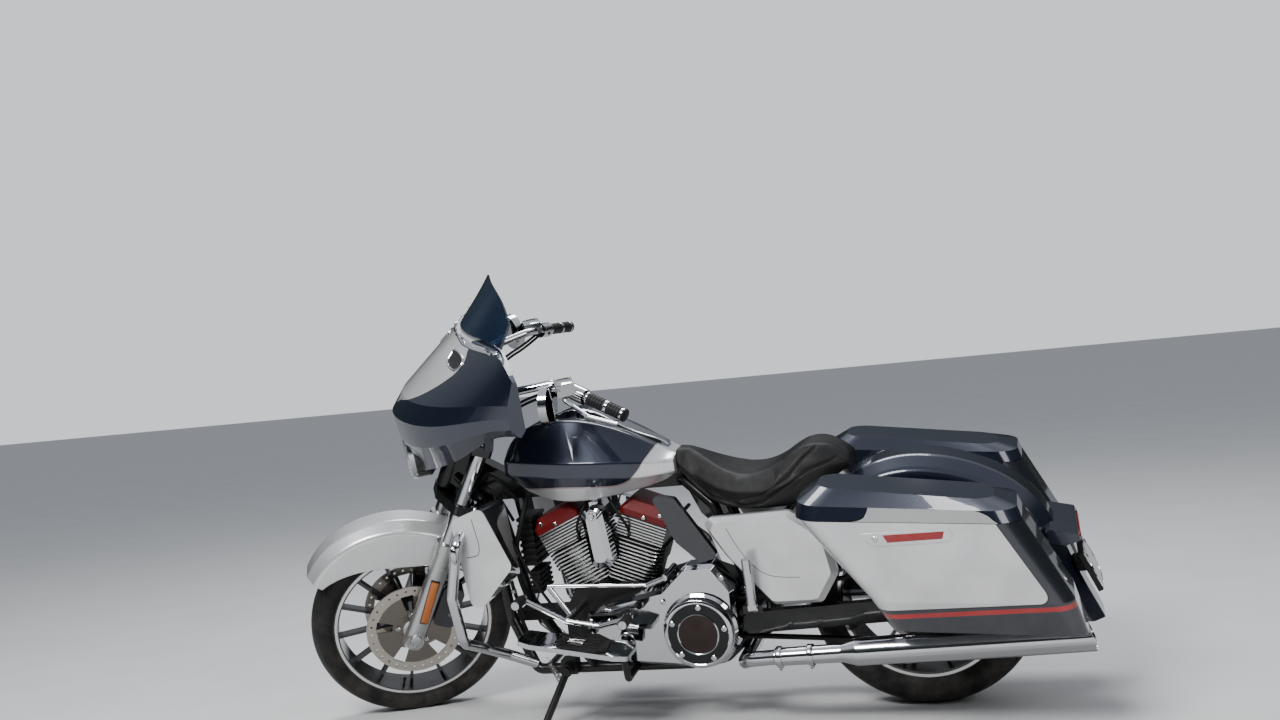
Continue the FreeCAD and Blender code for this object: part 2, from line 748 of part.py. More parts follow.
def make_frame():
    head = bar(head_point(size.head_bottom), head_point(size.head_top), size.head_radius)
    head_bore = bar(head_point(size.head_bottom - 50), head_point(size.head_top + 50),
                    size.head_bore)
    half = size.backbone_half
    bottom = size.backbone_bottom
    top = bottom + size.backbone_height
    neck = head_point((size.head_bottom + size.head_top) / 2)
    spine = prism([(640, bottom), (1330, bottom), (neck.x + 10, neck.z - 60),
                   (neck.x - 12, neck.z + 56), (1200, top), (640, top)], -half, half)
    rail = size.rail_half
    low = size.rail_height
    cradle = tube([(1380, 20, 780), (1290, 46, 690), (1240, 86, 330), (1168, rail, low),
                   (680, rail, low), (584, 79, low), (500, 79, 250), (size.pivot_x, 79, 330),
                   (560, 79, 640), (660, 20, bottom + 20)], size.rail_radius, 30)
    plate = prism([(430, 250), (512, 250), (520, 372), (440, 380)], 67, 94, 12)
    subframe = tube([(552, 79, 600), (480, size.subframe_half, size.subframe_height),
                     (-170, size.subframe_half, size.subframe_height - 40)],
                    size.subframe_radius, 40)
    half_frame = fused(cradle, plate, subframe)
    crossings = [bar(v(1239, -84, 320), v(1239, 84, 320), 13),
                 bar(v(size.pivot_x, -80, 360), v(size.pivot_x, 80, 360), 12),
                 bar(v(350, -size.subframe_half, size.subframe_height - 6),
                     v(350, size.subframe_half, size.subframe_height - 6), 11)]
    for x in (1140, 620):
        crossings.append(bar(v(x, -rail, low - 2), v(x, rail, low - 2), 10))
    stand_lug = block(size.stand_pivot_x - 24, size.stand_pivot_x + 24, rail,
                      size.stand_pivot_y - 12, low - 6, size.stand_pivot_height + 24)
    shock_lug = block(128, 172, size.subframe_half, size.shock_spread + 24,
                      size.subframe_height - 24, size.subframe_height - 4)
    bag_lugs = []
    for x in (60, -120):
        bag_lugs.append(block(x - 14, x + 14, size.subframe_half, 214, size.subframe_height - 30,
                              size.subframe_height - 14))
    frame = fused(head, spine, half_frame, mirrored(half_frame), *crossings, stand_lug,
                  shock_lug, mirrored(shock_lug), *bag_lugs, *[mirrored(lug) for lug in bag_lugs])
    pivot = bar(v(size.pivot_x, -100, size.pivot_height), v(size.pivot_x, 100, size.pivot_height),
                size.pivot_radius + size.fit_gap)
    node("frame", largest(frame.cut([head_bore, pivot])))


def make_swingarm():
    inner = size.arm_inner
    outer = inner + size.arm_width
    half = size.arm_height / 2
    hub = size.rear_tyre_radius
    pivot = size.pivot_height
    arm = prism([(size.pivot_x + 28, pivot - half), (size.pivot_x + 28, pivot + half),
                 (-34, hub + half), (-46, hub - half)], inner, outer, 16)
    seat = block(36, 96, inner, outer + 8, hub, hub + half + 14)
    shaft = bar(v(size.pivot_x, -outer, pivot), v(size.pivot_x, outer, pivot), size.pivot_radius)
    swingarm = fused(arm, seat, mirrored(arm), mirrored(seat), shaft)
    axle = bar(REAR_HUB - ACROSS * size.rear_axle_half, REAR_HUB + ACROSS * size.rear_axle_half,
               size.axle_radius)
    nut = bar(REAR_HUB + ACROSS * outer, REAR_HUB + ACROSS * (outer + 12), 20)
    collar = bar(REAR_HUB + ACROSS * (size.pulley_inner_face + size.pulley_width + 1),
                 REAR_HUB + ACROSS * inner, 19)
    node("swingarm", fused(swingarm, axle, nut, mirrored(nut), collar, mirrored(collar)))

    foot = v(66, size.shock_spread, hub + half + 14)
    top = v(150, size.shock_spread, size.subframe_height - 24)
    spring = []
    run = top - foot
    for number in range(7):
        at = foot + run * ((number + 1.5) / 9)
        spring.append(bar(at, at + run * 0.055, size.shock_radius))
    shock = fused(bar(foot, top, size.shock_radius - 9), *spring)
    shock = solid(shock.common(block(0, 250, 100, 250, foot.z, top.z)))
    node("rear_shocks", pair(largest(cut_by(shock, "frame", "swingarm"))))


# Corners (x, z) of the crankcase seen from the side, and of the gearbox behind it
CRANKCASE = [(738, 178), (1010, 178), (1064, 250), (1060, 352), (1010, 424), (820, 424),
             (742, 380)]
GEARBOX = [(528, 226), (760, 200), (760, 420), (640, 448), (528, 400)]


def cylinder_axis(side):
    """The direction of the front (1) or rear (-1) cylinder from the crankshaft."""
    lean = math.radians(size.vee_half_angle) * side
    return v(math.sin(lean), 0, math.cos(lean))


def finned_cylinder(side):
    """A barrel and head with its cooling fins, seen as square plates with rounded corners."""
    crank = v(size.crank_x, 0, size.crank_height)
    axis = cylinder_axis(side)
    turn = Rotation(UP, axis)
    pieces = [bar(crank + axis * (size.barrel_start - 30), crank + axis * size.head_block_top,
                  size.barrel_radius)]
    for number in range(int(size.fin_count)):
        half = size.fin_half + (4 if number >= size.fin_count - 5 else 0)
        corners = [v(-half, -half, 0), v(half, -half, 0), v(half, half, 0), v(-half, half, 0)]
        fin = Part.Face(rounded(corners, half * 0.42)).extrude(v(0, 0, size.fin_thickness))
        fin.Placement = Placement(crank + axis * (size.barrel_start + number * size.fin_pitch),
                                  turn)
        pieces.append(fin)
    head_from = size.barrel_start + size.fin_count * size.fin_pitch
    head = Part.makeBox(148, 150, size.head_block_top - head_from, v(-74, -75, 0))
    head.Placement = Placement(crank + axis * head_from, turn)
    return fused(head, *pieces)


def rocker_cover(side):
    """The cover over one cylinder head, with its lower rail and narrower top."""
    crank = v(size.crank_x, 0, size.crank_height)
    axis = cylinder_axis(side)
    height = size.rocker_top - size.head_block_top

    def rectangle(half_length, half_width, z):
        corners = [v(-half_length, -half_width, z), v(half_length, -half_width, z),
                   v(half_length, half_width, z), v(-half_length, half_width, z)]
        return rounded(corners, 14)

    cover = loft([rectangle(78, 84, 0), rectangle(78, 84, height * 0.4),
                  rectangle(58, 66, height)], True)
    cover.Placement = Placement(crank + axis * size.head_block_top, Rotation(UP, axis))
    return cover


def make_engine():
    case = prism(CRANKCASE, -size.case_half, size.case_half, 26)
    gearbox = prism(GEARBOX, -size.gearbox_half, size.gearbox_half, 20)
    inner_primary = prism([(820, 240), (960, 240), (960, 372), (820, 372)], size.case_half - 5,
                          size.primary_inner, 30)
    front_pulley = bar(v(size.drive_pulley_x, size.pulley_inner_face, size.pivot_height),
                       v(size.drive_pulley_x, size.pulley_inner_face + size.pulley_width,
                         size.pivot_height), size.drive_pulley_radius)
    shaft = bar(v(size.drive_pulley_x, size.gearbox_half - 5, size.pivot_height),
                v(size.drive_pulley_x, size.primary_inner, size.pivot_height), 18)
    mount = block(1040, 1226, -34, 34, 304, 336)
    rear_mount = block(482, 540, -50, 50, 344, 372)
    crank = v(size.crank_x, 0, size.crank_height)
    decks = []
    for side in (1, -1):
        axis = cylinder_axis(side)
        decks.append(bar(crank + axis * 60, crank + axis * (size.barrel_start - 6), 84))
    cases = fused(case, gearbox, inner_primary, front_pulley, shaft, mount, rear_mount, *decks)
    cases = largest(cut_by(cases, "frame"))
    half = size.case_half
    rods = []
    channels = []
    for side in (1, -1):
        axis = cylinder_axis(side)
        for shift in (-16, 16):
            foot = crank + v(side * 30 + shift, -half - 11, 80)
            top = crank + axis * size.head_block_top + v(shift - side * 34, -66, 6)
            rods.append(bar(foot, top, size.rod_tube_radius))
            channels.append(bar(foot, top, size.rod_tube_radius + size.rod_tube_room))
    around = fused(cases, *channels)
    front = largest(finned_cylinder(1).cut(around))
    rear = largest(finned_cylinder(-1).cut([around, front]))
    node("cylinders", Part.makeCompound([front, rear]))
    node("engine_cases", cases)
    node("rocker_covers", Part.makeCompound([rocker_cover(1), rocker_cover(-1)]))

    cam = loft([rounded([v(820, -y, 196), v(1010, -y, 196), v(1010, -y, 400), v(820, -y, 400)],
                        34) for y in (half, half + 22)], True)
    cone = lathe([(0, 70), (26, 52), (30, 0), (0, 0)], v(915, -half - 22, 292), -ACROSS)
    cover = fused(cam, cone, *rods)
    node("cam_cover", largest(cut_by(cover, "engine_cases", "rocker_covers")))

    at = v(size.crank_x, -84, 556)
    radius = size.air_cleaner_radius
    cleaner = lathe([(-44, 0), (-44, 40), (30, 40), (34, radius), (size.air_cleaner_depth, radius),
                     (size.air_cleaner_depth + 16, radius - 16), (size.air_cleaner_depth + 16, 0)],
                    at, -ACROSS)
    node("air_cleaner", largest(cut_by(cleaner, "cylinders", "rocker_covers", "cam_cover")))


# Corners (x, z) of the primary cover: round the clutch, over the starter, to the front
PRIMARY = [(512, 250), (560, 200), (690, 196), (850, 214), (930, 268), (968, 330), (958, 366),
           (900, 392), (716, 432), (640, 494), (560, 496), (508, 420)]


def make_primary():
    """The long cover on the left, with a round clutch cover on its own raised ring."""
    inner, outer = size.primary_inner, size.primary_outer
    bevel = 14
    middle = v(740, 0, 320)

    def ring(y, shrink):
        corners = []
        for x, z in PRIMARY:
            inward = (middle - v(x, 0, z)).normalize() * shrink
            corners.append(v(x, y, z) + inward)
        return rounded(corners, 16)

    cover = loft([ring(inner, 0), ring(outer - bevel, 0), ring(outer, bevel)], True)
    clutch = v(size.derby_x, 0, size.derby_height)
    dome = lathe([(inner, 0), (inner, size.derby_radius + 10), (outer + 4, size.derby_radius + 10),
                  (outer + 10, size.derby_radius + 2), (outer + 10, 0)], clutch, ACROSS)
    node("primary_cover", largest(cut_by(fused(cover, dome), "engine_cases", "frame")))
    derby = round_body("derby_cover", "derby_radius", "derby_thickness")
    derby.Placement = Placement(clutch + ACROSS * (outer + 10), TO_ACROSS)
    register("derby_cover", derby)
    horn_top = size.backbone_bottom
    horn = loft([rounded([v(868, y, 490), v(936, y, 490), v(950, y, 664), v(884, y, 672)], 20)
                 for y in (98, 142)], True)
    crown = loft([rounded([v(868, 142, 490), v(936, 142, 490), v(950, 142, 664),
                           v(884, 142, 672)], 20),
                  rounded([v(884, 156, 510), v(922, 156, 510), v(932, 156, 648),
                           v(898, 156, 654)], 14)], True)
    stalk = block(902, 930, -18, 110, 654, 682)
    tab = block(902, 930, -18, size.backbone_half - 2, 670, horn_top)
    node("horn_cover", largest(cut_by(fused(horn, crown, stalk, tab), "cylinders", "rocker_covers",
                                      "engine_cases")))


# Exhaust

def muffler_ends():
    """The muffler's front and rear ends on the left side."""
    return v(396, size.muffler_y, 240), v(-452, size.muffler_end_y, 274)


def make_exhaust():
    start, end = muffler_ends()
    run = end - start
    pipe = size.header_radius + 2
    fat = size.muffler_radius
    profile = [(0, 0), (0, pipe), (0.22, pipe + 1), (0.27, fat - 3), (0.62, fat), (1, fat - 2),
               (1, fat - 7), (0.86, fat - 9), (0.86, 0)]
    muffler = lathe([(share * run.Length, radius) for share, radius in profile], start, run)
    slash = block(-520, -448, 200, 360, 180, 360)
    slash.rotate(v(-448, 0, 274), ACROSS, 18)
    muffler = largest(muffler.cut(slash))
    hanger = block(-20, 20, 160, 262, 268, 290)
    muffler = largest(fused(muffler, hanger))
    bracket_cut = cut_by(muffler, "swingarm", "frame")
    node("mufflers", pair(largest(bracket_cut)))
    radius = size.header_radius
    front = tube([(1086, -70, 566), (1092, -118, 560), (1138, -142, 500), (1128, -168, 320),
                  (1060, -196, 246), (560, -222, 226), (396, -size.muffler_y, 240)], radius, 34)
    rear = tube([(732, -66, 548), (716, -112, 540), (668, -168, 470), (640, -200, 330),
                 (560, -222, 226)], radius, 30)
    crossover = tube([(396, size.muffler_y, 240), (470, size.muffler_y - 12, 232),
                      (508, 170, 196), (508, -150, 196), (500, -232, 228)], radius - 2, 40)
    pipes = fused(front, rear, crossover)
    start_cut = Part.makeCompound(shape_of("mufflers").Solids)
    pipes = pipes.cut([start_cut, shape_of("cylinders"), shape_of("engine_cases"),
                       shape_of("cam_cover"), shape_of("frame")])
    node("exhaust_pipes", largest(pipes))


# Bodywork

# Along, widest half width, its height, bottom and its half width, top and its half width
TANK_RIBS = [(1186, 92, 800, 760, 60, 852, 46), (1120, 134, 802, 722, 84, 908, 66),
             (1020, 160, 796, 690, 104, 930, 82), (890, 160, 786, 690, 104, 912, 82),
             (770, 126, 772, 706, 84, 858, 66), (662, 84, 766, 742, 56, 796, 42)]


def make_tank():
    ribs = []
    for x, half, widest, bottom, bottom_half, top, top_half in TANK_RIBS:
        corners = [(-bottom_half, bottom), (bottom_half, bottom), (half, widest - 22),
                   (half, widest + 22), (top_half, top), (-top_half, top), (-half, widest + 22),
                   (-half, widest - 22)]
        ribs.append(x_section(x, corners, 12))
    shell = loft(ribs)
    gap = size.fit_gap
    half = size.backbone_half + gap
    roof = size.backbone_bottom + size.backbone_height + gap
    tunnel = block(600, 1250, -half, half, 600, roof)
    neck = prism([(1100, roof - 4), (1250, roof - 4), (1250, roof + 60), (1180, roof + 30)],
                 -half, half)
    shell = shell.cut([tunnel, neck])
    node("fuel_tank", largest(cut_by(shell, "frame", "rocker_covers")))


# Along, half width, underside and top of the chrome console along the tank
CONSOLE_RIBS = [(1072, 24, 900, 926), (1000, 44, 905, 946), (932, 46, 900, 950),
                (820, 44, 850, 893), (742, 34, 818, 852), (690, 22, 790, 822)]


def make_console():
    ribs = []
    for x, half, bottom, top in CONSOLE_RIBS:
        ribs.append(x_section(x, [(-half, bottom), (half, bottom), (half * 0.8, top),
                                  (-half * 0.8, top)], 5))
    console = largest(cut_by(loft(ribs), "fuel_tank"))
    slope = math.degrees(math.atan2(950 - 893, 932 - 820))
    middle = v(876, 0, 921.5)
    gap = size.fit_gap
    half_long, half_wide, thick = 46, 30, size.door_thickness
    door = Part.Face(rounded([v(-half_long, -half_wide, 0), v(half_long, -half_wide, 0),
                              v(half_long, half_wide, 0), v(-half_long, half_wide, 0)], 18))
    door = door.extrude(v(0, 0, thick))
    room = Part.makeBox(2 * half_long + 4, 2 * half_wide + 4, 60,
                        v(-half_long - 2, -half_wide - 2, -gap))
    seat_at = Placement(middle - v(0, 0, thick - 3), Rotation(ACROSS, -slope))
    door.Placement = seat_at
    room.Placement = seat_at
    node("tank_console", largest(console.cut(room)))
    node("fuel_door", solid(door))
    ahead = seat_at.Rotation.multVec(FORWARD)
    normal = seat_at.Rotation.multVec(UP)
    hinge = seat_at.Base + ahead * (half_long + 1) + normal * (thick + 1)
    return hinge


# Along, half width of the foot, of the top and of the widest, then foot, waist and top heights
SEAT_RIBS = [(664, 60, 40, 66, 752, 776, 808), (560, 118, 66, 128, 662, 712, 758),
             (462, 146, 96, 166, 634, 690, 721), (370, 142, 92, 160, 630, 690, 735),
             (262, 118, 76, 130, 652, 722, 790), (196, 96, 62, 106, 694, 740, 780),
             (150, 70, 44, 78, 716, 732, 752)]


def make_seat():
    ribs = []
    for x, foot_half, top_half, half, foot, waist, top in SEAT_RIBS:
        corners = [(-foot_half, foot), (foot_half, foot), (half, waist), (top_half, top),
                   (-top_half, top), (-half, waist)]
        ribs.append(x_section(x, corners, 8))
    seat = loft(ribs)
    node("seat", largest(cut_by(seat, "fuel_tank", "frame", "rear_fender", "tank_console")))


# Corners (x, z) of the side cover and of the deflector under the tank
SIDE_COVER = [(582, 628), (324, 634), (224, 560), (206, 446), (258, 366), (398, 366), (520, 520)]
DEFLECTOR = [(722, 706), (650, 690), (542, 508), (600, 498), (662, 560)]


def make_side_covers():
    cover = loft([rounded([v(x, 166, z) for x, z in SIDE_COVER], 22),
                  rounded([v(x, 184, z) for x, z in SIDE_COVER], 22),
                  rounded([v(x + (390 - x) * 0.1, 200, z + (500 - z) * 0.1)
                           for x, z in SIDE_COVER], 22)], True)
    peg = bar(v(470, size.subframe_half - 4, 600), v(470, 166, 600), 7)
    lower_peg = bar(v(300, size.subframe_half, 596), v(300, 166, 596), 7)
    cover = fused(cover, peg, lower_peg)
    node("side_covers", pair(largest(cut_by(cover, "frame", "seat", "swingarm"))))
    deflector = loft([rounded([v(x, 150, z) for x, z in DEFLECTOR], 14),
                      rounded([v(x, 174, z) for x, z in DEFLECTOR], 14)], True)
    stay = bar(v(640, 60, 640), v(640, 152, 640), 6)
    deflector = fused(deflector, stay)
    node("air_deflectors", pair(largest(cut_by(deflector, "frame", "seat", "fuel_tank",
                                               "side_covers", "cylinders", "rocker_covers"))))


# Angle round the wheel, outer radius, lower edge's radius
REAR_FENDER_RIBS = [(64, 392, 330), (90, 411, 318), (118, 416, 314), (144, 428, 318),
                    (160, 421, 322), (176, 438, 340), (190, 494, 392)]


def make_rear_fender():
    shell = fender(REAR_HUB, REAR_FENDER_RIBS, size.rear_fender_half, size.fender_wall + 1, 34)
    tabs = []
    for x in (130, -110):
        tabs.append(block(x - 12, x + 12, size.rear_fender_half - 5, size.subframe_half,
                          size.subframe_height - 34, size.subframe_height - 4))
    shell = fused(shell, *tabs, *[mirrored(tab) for tab in tabs])
    node("rear_fender", largest(cut_by(shell, "frame", "rear_shocks")))


# Height at x = 0, slope, rear, front, inner and outer edge, corner radius
BAG_RIBS = [(356, 0.0785, -436, 48, 226, 428, 40), (440, 0.06, -412, 96, 206, 450, 56),
            (655, 0.083, -306, 262, 198, 468, 66), (690, 0.10, -296, 256, 204, 458, 72),
            (716, 0.148, -240, 204, 236, 406, 60)]


def bag_form(inset):
    """The closed form of the left bag with its lid, or the same form inset by the wall."""
    last = len(BAG_RIBS) - 1
    wires = []
    for number, (height, slope, rear, front, inner, outer, corner) in enumerate(BAG_RIBS):
        lift = inset if number == 0 else (-inset if number == last else 0)
        edges = [(rear + inset, inner + inset), (front - inset, inner + inset),
                 (front - inset, outer - inset), (rear + inset, outer - inset)]
        corners = [v(x, y, height + lift + slope * x) for x, y in edges]
        wires.append(rounded(corners, corner - inset))
    return loft(wires, True)


def split_block(lift, upwards):
    """All the room above or below the plane that parts a bag from its lid."""
    at = size.bag_split + lift
    slope = size.bag_split_slope
    far = 900 if upwards else 100
    return prism([(-600, at - 600 * slope), (600, at + 600 * slope), (600, far), (-600, far)],
                 100, 600)


def make_bags():
    outside = bag_form(0)
    inside = bag_form(size.bag_wall)
    walls = outside.cut(inside)
    bag = largest(walls.common(split_block(0, False)))
    lid = largest(walls.common(split_block(size.lid_gap, True)))
    ledge = largest(outside.common(split_block(0, False)).common(split_block(-12, True)))
    hole = bag_form(size.bag_wall + 10)
    rim = largest(ledge.cut(hole))
    bag = fused(bag, rim)
    frame = nodes["frame"][0]
    frame.Shape = largest(frame.Shape.cut([outside, mirrored(outside)]))
    node("saddlebag_left", bag)
    node("saddlebag_right", mirrored(bag))
    node("bag_lid_left", lid)
    node("bag_lid_right", mirrored(lid))


def make_rear_lights():
    strip = prism([(-306, 528), (-322, 534), (-392, 374), (-377, 366)], 113, 136, 5)
    node("tail_lamps", pair(largest(cut_by(strip, "rear_fender", "saddlebag_left"))))
    profile = [(-352, 514), (-368, 522), (-436, 506), (-444, 488), (-404, 476), (-366, 482)]
    bar_half = size.lamp_bar_half
    beam = prism(profile, -bar_half, bar_half, 5)
    node("lamp_bar", largest(cut_by(beam, "rear_fender", "tail_lamps", "saddlebag_left",
                                    "saddlebag_right")))


def make_plate():
    """The holder, and the blank plate with the two holes that its screws pass through."""
    at = Placement(v(size.plate_x, 0, size.plate_middle), Rotation(ACROSS, size.plate_slope))
    border = size.plate_border
    holder = Part.makeBox(size.holder_thickness, size.plate_width + 2 * border,
                          size.plate_height + 2 * border,
                          v(0, -size.plate_width / 2 - border, -size.plate_height / 2 - border))
    holder.Placement = at
    arm = block(size.plate_x + 14, size.plate_x + 66, -30, 30, size.plate_middle - 18,
                size.plate_middle + 16)
    body = cut_by(fused(holder, arm), "rear_fender", "lamp_bar", "tail_lamps")

    sheet = doc.addObject("Part::Box", "plate_sheet")
    sheet.setExpression("Length", "Sizes.plate_thickness")
    sheet.setExpression("Width", "Sizes.plate_width")
    sheet.setExpression("Height", "Sizes.plate_height")
    corner = v(-size.plate_thickness, -size.plate_width / 2, -size.plate_height / 2)
    sheet.Placement = at.multiply(Placement(corner, Rotation()))
    bores = []
    pierced = sheet
    for side in (1, -1):
        start = v(-size.holder_thickness * 2, side * size.plate_hole_spacing / 2,
                  size.plate_height / 2 - size.plate_hole_drop)
        through = at.multiply(Placement(start, Rotation(UP, FORWARD)))
        bore = Part.makeCylinder(size.plate_hole_radius, size.holder_thickness * 4)
        bore.Placement = through
        bores.append(bore)
        hole = doc.addObject("Part::Cylinder", "plate_hole")
        hole.setExpression("Radius", "Sizes.plate_hole_radius + Sizes.plate_hole_room")
        hole.setExpression("Height", "Sizes.holder_thickness * 4")
        hole.Placement = through
        cut = doc.addObject("Part::Cut", "plate_pierced")
        cut.Base = pierced
        cut.Tool = hole
        pierced = cut
    doc.recompute()
    node("plate_holder", largest(body.cut(bores)))
    register("number_plate_blank", pierced)
    return at


# Guards, controls, stands and boards

GUARD_ROUTE = [(1168, 118, 196), (1240, 150, 238), (1290, 214, 286), (1300, 322, 340),
               (1308, 336, 480), (1276, 322, 636), (1262, 200, 700), (1288, 46, 692)]
SHIELD_INNER = [(1262, 700), (1200, 716), (1182, 480), (1232, 440)]
SHIELD_OUTER = [(1296, 700), (1196, 734), (1124, 552), (1268, 402)]


def make_guards():
    guard = tube(GUARD_ROUTE, size.guard_radius, 32)
    node("engine_guard", pair(largest(cut_by(guard, "frame"))))
    shield = loft([rounded([v(x, 108, z) for x, z in SHIELD_INNER], 14),
                   rounded([v(x, 292, z) for x, z in SHIELD_OUTER], 26)], True)
    around = ("frame", "engine_guard", "cylinders", "exhaust_pipes", "rocker_covers")
    shields = [largest(cut_by(side, *around)) for side in (shield, mirrored(shield))]
    node("leg_shields", Part.makeCompound(shields))


def make_foot_controls():
    pivot = v(997, 0, 372)
    shaft = bar(pivot + ACROSS * size.case_half, pivot + ACROSS * 262, 10)
    lever = tube([(809, 261, 372), (900, 261, 352), (997, 261, 372), (1123, 261, 444)], 8, 20)
    toe = bar(v(1123, 250, 444), v(1123, 322, 444), 12)
    heel = bar(v(809, 250, 372), v(809, 322, 372), 12)
    arm = bar(v(997, 216, 372), v(1056, 216, 466), 8)
    rod = bar(v(1056, 216, 466), v(754, 216, 452), 6)
    rear_arm = bar(v(754, 216, 452), v(700, 216, 470), 8)
    rear_shaft = bar(v(700, size.gearbox_half, 430), v(700, 100, 470), 9)
    across = bar(v(700, 96, 470), v(700, 216, 470), 9)
    left = fused(shaft, lever, toe, heel, arm, rod, rear_arm, rear_shaft, across)
    left = largest(cut_by(left, "engine_cases", "primary_cover", "frame", "cylinders"))
    brake_shaft = bar(v(1044, -size.case_half, 320), v(1044, -258, 320), 10)
    pedal = tube([(1044, -254, 320), (1088, -254, 400), (1130, -280, 430)], 9, 16)
    pad = block(1094, 1152, -328, -262, 428, 440)
    right = largest(cut_by(fused(brake_shaft, pedal, pad), "engine_cases", "cam_cover",
                           "exhaust_pipes", "frame"))
    node("foot_controls", Part.makeCompound([left, right]))


def board_placement(side):
    """Where a floorboard's own hinge line lies: its rear inner corner and its slope."""
    return Placement(v(size.board_rear, size.board_inner * side, size.board_rear_height),
                     Rotation(ACROSS, -size.board_slope))


def make_board(side):
    length, width, thick = size.board_length, size.board_width, size.board_thickness
    corners = [v(0, 12, 0), v(length, 12, 0), v(length, width - 14, 0), v(length - 40, width, 0),
               v(40, width, 0), v(0, width - 14, 0)]
    plate = Part.Face(rounded(corners, 12)).extrude(v(0, 0, thick))
    barrels = []
    for along in BOARD_HINGES:
        barrels.append(bar(v(along - 16, 0, 0), v(along + 16, 0, 0), size.hinge_pin_radius + 6))
        barrels.append(block(along - 16, along + 16, 0, 16, 0, thick * 0.7))
    board = fused(plate, *barrels)
    for along in BOARD_HINGES:
        board = board.cut(bar(v(along - 30, 0, 0), v(along + 30, 0, 0),
                              size.hinge_pin_radius + size.fit_gap))
    board = solid(board)
    if side < 0:
        board = mirrored(board)
    board.Placement = board_placement(side).multiply(board.Placement)
    return board


BOARD_HINGES = (52, 196)


def make_boards():
    node("floorboard_left", make_board(1))
    node("floorboard_right", make_board(-1))
    halves = []
    for side in (1, -1):
        at = board_placement(side)
        for along in BOARD_HINGES:
            pin = bar(v(along - 34, 0, 0), v(along + 34, 0, 0), size.hinge_pin_radius)
            cheeks = [block(along + 18, along + 34, -14, 8, -26, 8),
                      block(along - 34, along - 18, -14, 8, -26, 8),
                      block(along - 34, along + 34, -22, -14, -26, -8)]
            fork = fused(pin, *cheeks)
            fork.Placement = at
            root = at.multVec(v(along, -18 * side, -18))
            raised = side > 0 and along == BOARD_HINGES[-1]
            knee = 236 if raised else size.rail_height + 2
            elbow = 168 if raised else root.y * side - 14
            arm = tube([(root.x, size.rail_half * side, size.rail_height + 4),
                        (root.x, elbow * side, knee), (root.x, root.y, root.z)], 10, 12)
            if side < 0:
                fork = fused(pin, *[mirrored(cheek) for cheek in cheeks])
                fork.Placement = at
            halves.append(largest(cut_by(fused(fork, arm), "frame")))
    return halves


def stand_foot_point():
    """The middle of the stand's foot, on the ground of the leaning machine."""
    place = stance()
    ground = place.inverse().multVec(v(0, 0, 0))
    normal = place.inverse().Rotation.multVec(UP)
    x, y = size.stand_foot_x, size.stand_foot_y
    z = ground.z - ((x - ground.x) * normal.x + (y - ground.y) * normal.y) / normal.z
    return v(x, y, z), normal


def make_side_stand():
    foot, normal = stand_foot_point()
    pivot = v(size.stand_pivot_x, size.stand_pivot_y, size.stand_pivot_height)
    boss_from = size.stand_pivot_y - 12 + 1
    boss = bar(v(pivot.x, boss_from, pivot.z), v(pivot.x, boss_from + 26, pivot.z), 19)
    hole = bar(v(pivot.x, boss_from - 5, pivot.z), v(pivot.x, boss_from + 40, pivot.z),
               7 + size.fit_gap)
    leg_top = v(pivot.x + 4, boss_from + 14, pivot.z - 8)
    sole = Part.makeCylinder(size.stand_foot_radius, 8, foot, normal)
    leg = bar(leg_top, foot + normal * 6, size.stand_leg_radius)
    room_above = Part.makeCylinder(200, 500, foot, normal)
    stand = fused(boss, leg, sole)
    head_room = bar(v(pivot.x, boss_from + 26, pivot.z), v(pivot.x, boss_from + 50, pivot.z), 14)
    stand = largest(stand.common(room_above).cut([hole, head_room]))
    node("side_stand", stand)
    pin = bar(v(pivot.x, boss_from - 6, pivot.z), v(pivot.x, boss_from + 32, pivot.z), 7)
    head = bar(v(pivot.x, boss_from + 27, pivot.z), v(pivot.x, boss_from + 33, pivot.z), 13)
    frame = nodes["frame"][0]
    frame.Shape = fused(frame.Shape, pin, head)


def make_passenger_pegs():
    hinge = v(449, 226, 372)
    peg = bar(v(hinge.x, hinge.y + 14, hinge.z + 14), v(hinge.x, hinge.y + 14,
                                                      hinge.z + 14 + size.peg_length),
              size.peg_radius)
    barrel = bar(v(hinge.x - 14, hinge.y, hinge.z), v(hinge.x + 14, hinge.y, hinge.z), 12)
    neck = block(hinge.x - 12, hinge.x + 12, hinge.y - 6, hinge.y + 20, hinge.z, hinge.z + 24)
    hole = bar(v(hinge.x - 30, hinge.y, hinge.z), v(hinge.x + 30, hinge.y, hinge.z),
               5 + size.fit_gap)
    peg = largest(fused(peg, barrel, neck).cut(hole))
    node("passenger_peg_left", peg)
    node("passenger_peg_right", mirrored(peg))
    cheeks = [block(hinge.x + 16, hinge.x + 28, hinge.y - 30, hinge.y + 10, hinge.z - 12,
                    hinge.z + 10),
              block(hinge.x - 28, hinge.x - 16, hinge.y - 30, hinge.y + 10, hinge.z - 12,
                    hinge.z + 10),
              block(hinge.x - 28, hinge.x + 28, hinge.y - 42, hinge.y - 20, hinge.z - 12,
                    hinge.z + 10)]
    pin = bar(v(hinge.x - 28, hinge.y, hinge.z), v(hinge.x + 28, hinge.y, hinge.z), 5)
    arm = tube([(hinge.x + 6, hinge.y - 30, hinge.z), (500, 176, 340), (500, 92, 340)], 10, 14)
    bracket = fused(arm, pin, *cheeks)
    bracket = pair(largest(cut_by(bracket, "frame", "side_covers", "swingarm", "primary_cover",
                                  "engine_cases")))
    return hinge, bracket.Solids


# The stance: pitched so that both tyres meet the ground, then leaned onto the stand

def tyre_low(centre, axle, radius, crown):
    """The height of a round-crowned tyre's lowest point, given its turned axle."""
    return centre.z - (radius - crown) * math.sqrt(1 - axle.z ** 2) - crown


def steering_turn():
    turn = Rotation(STEERING_UP, size.steering_stop)
    return Placement(CENTRE, turn, STEERING_POINT)


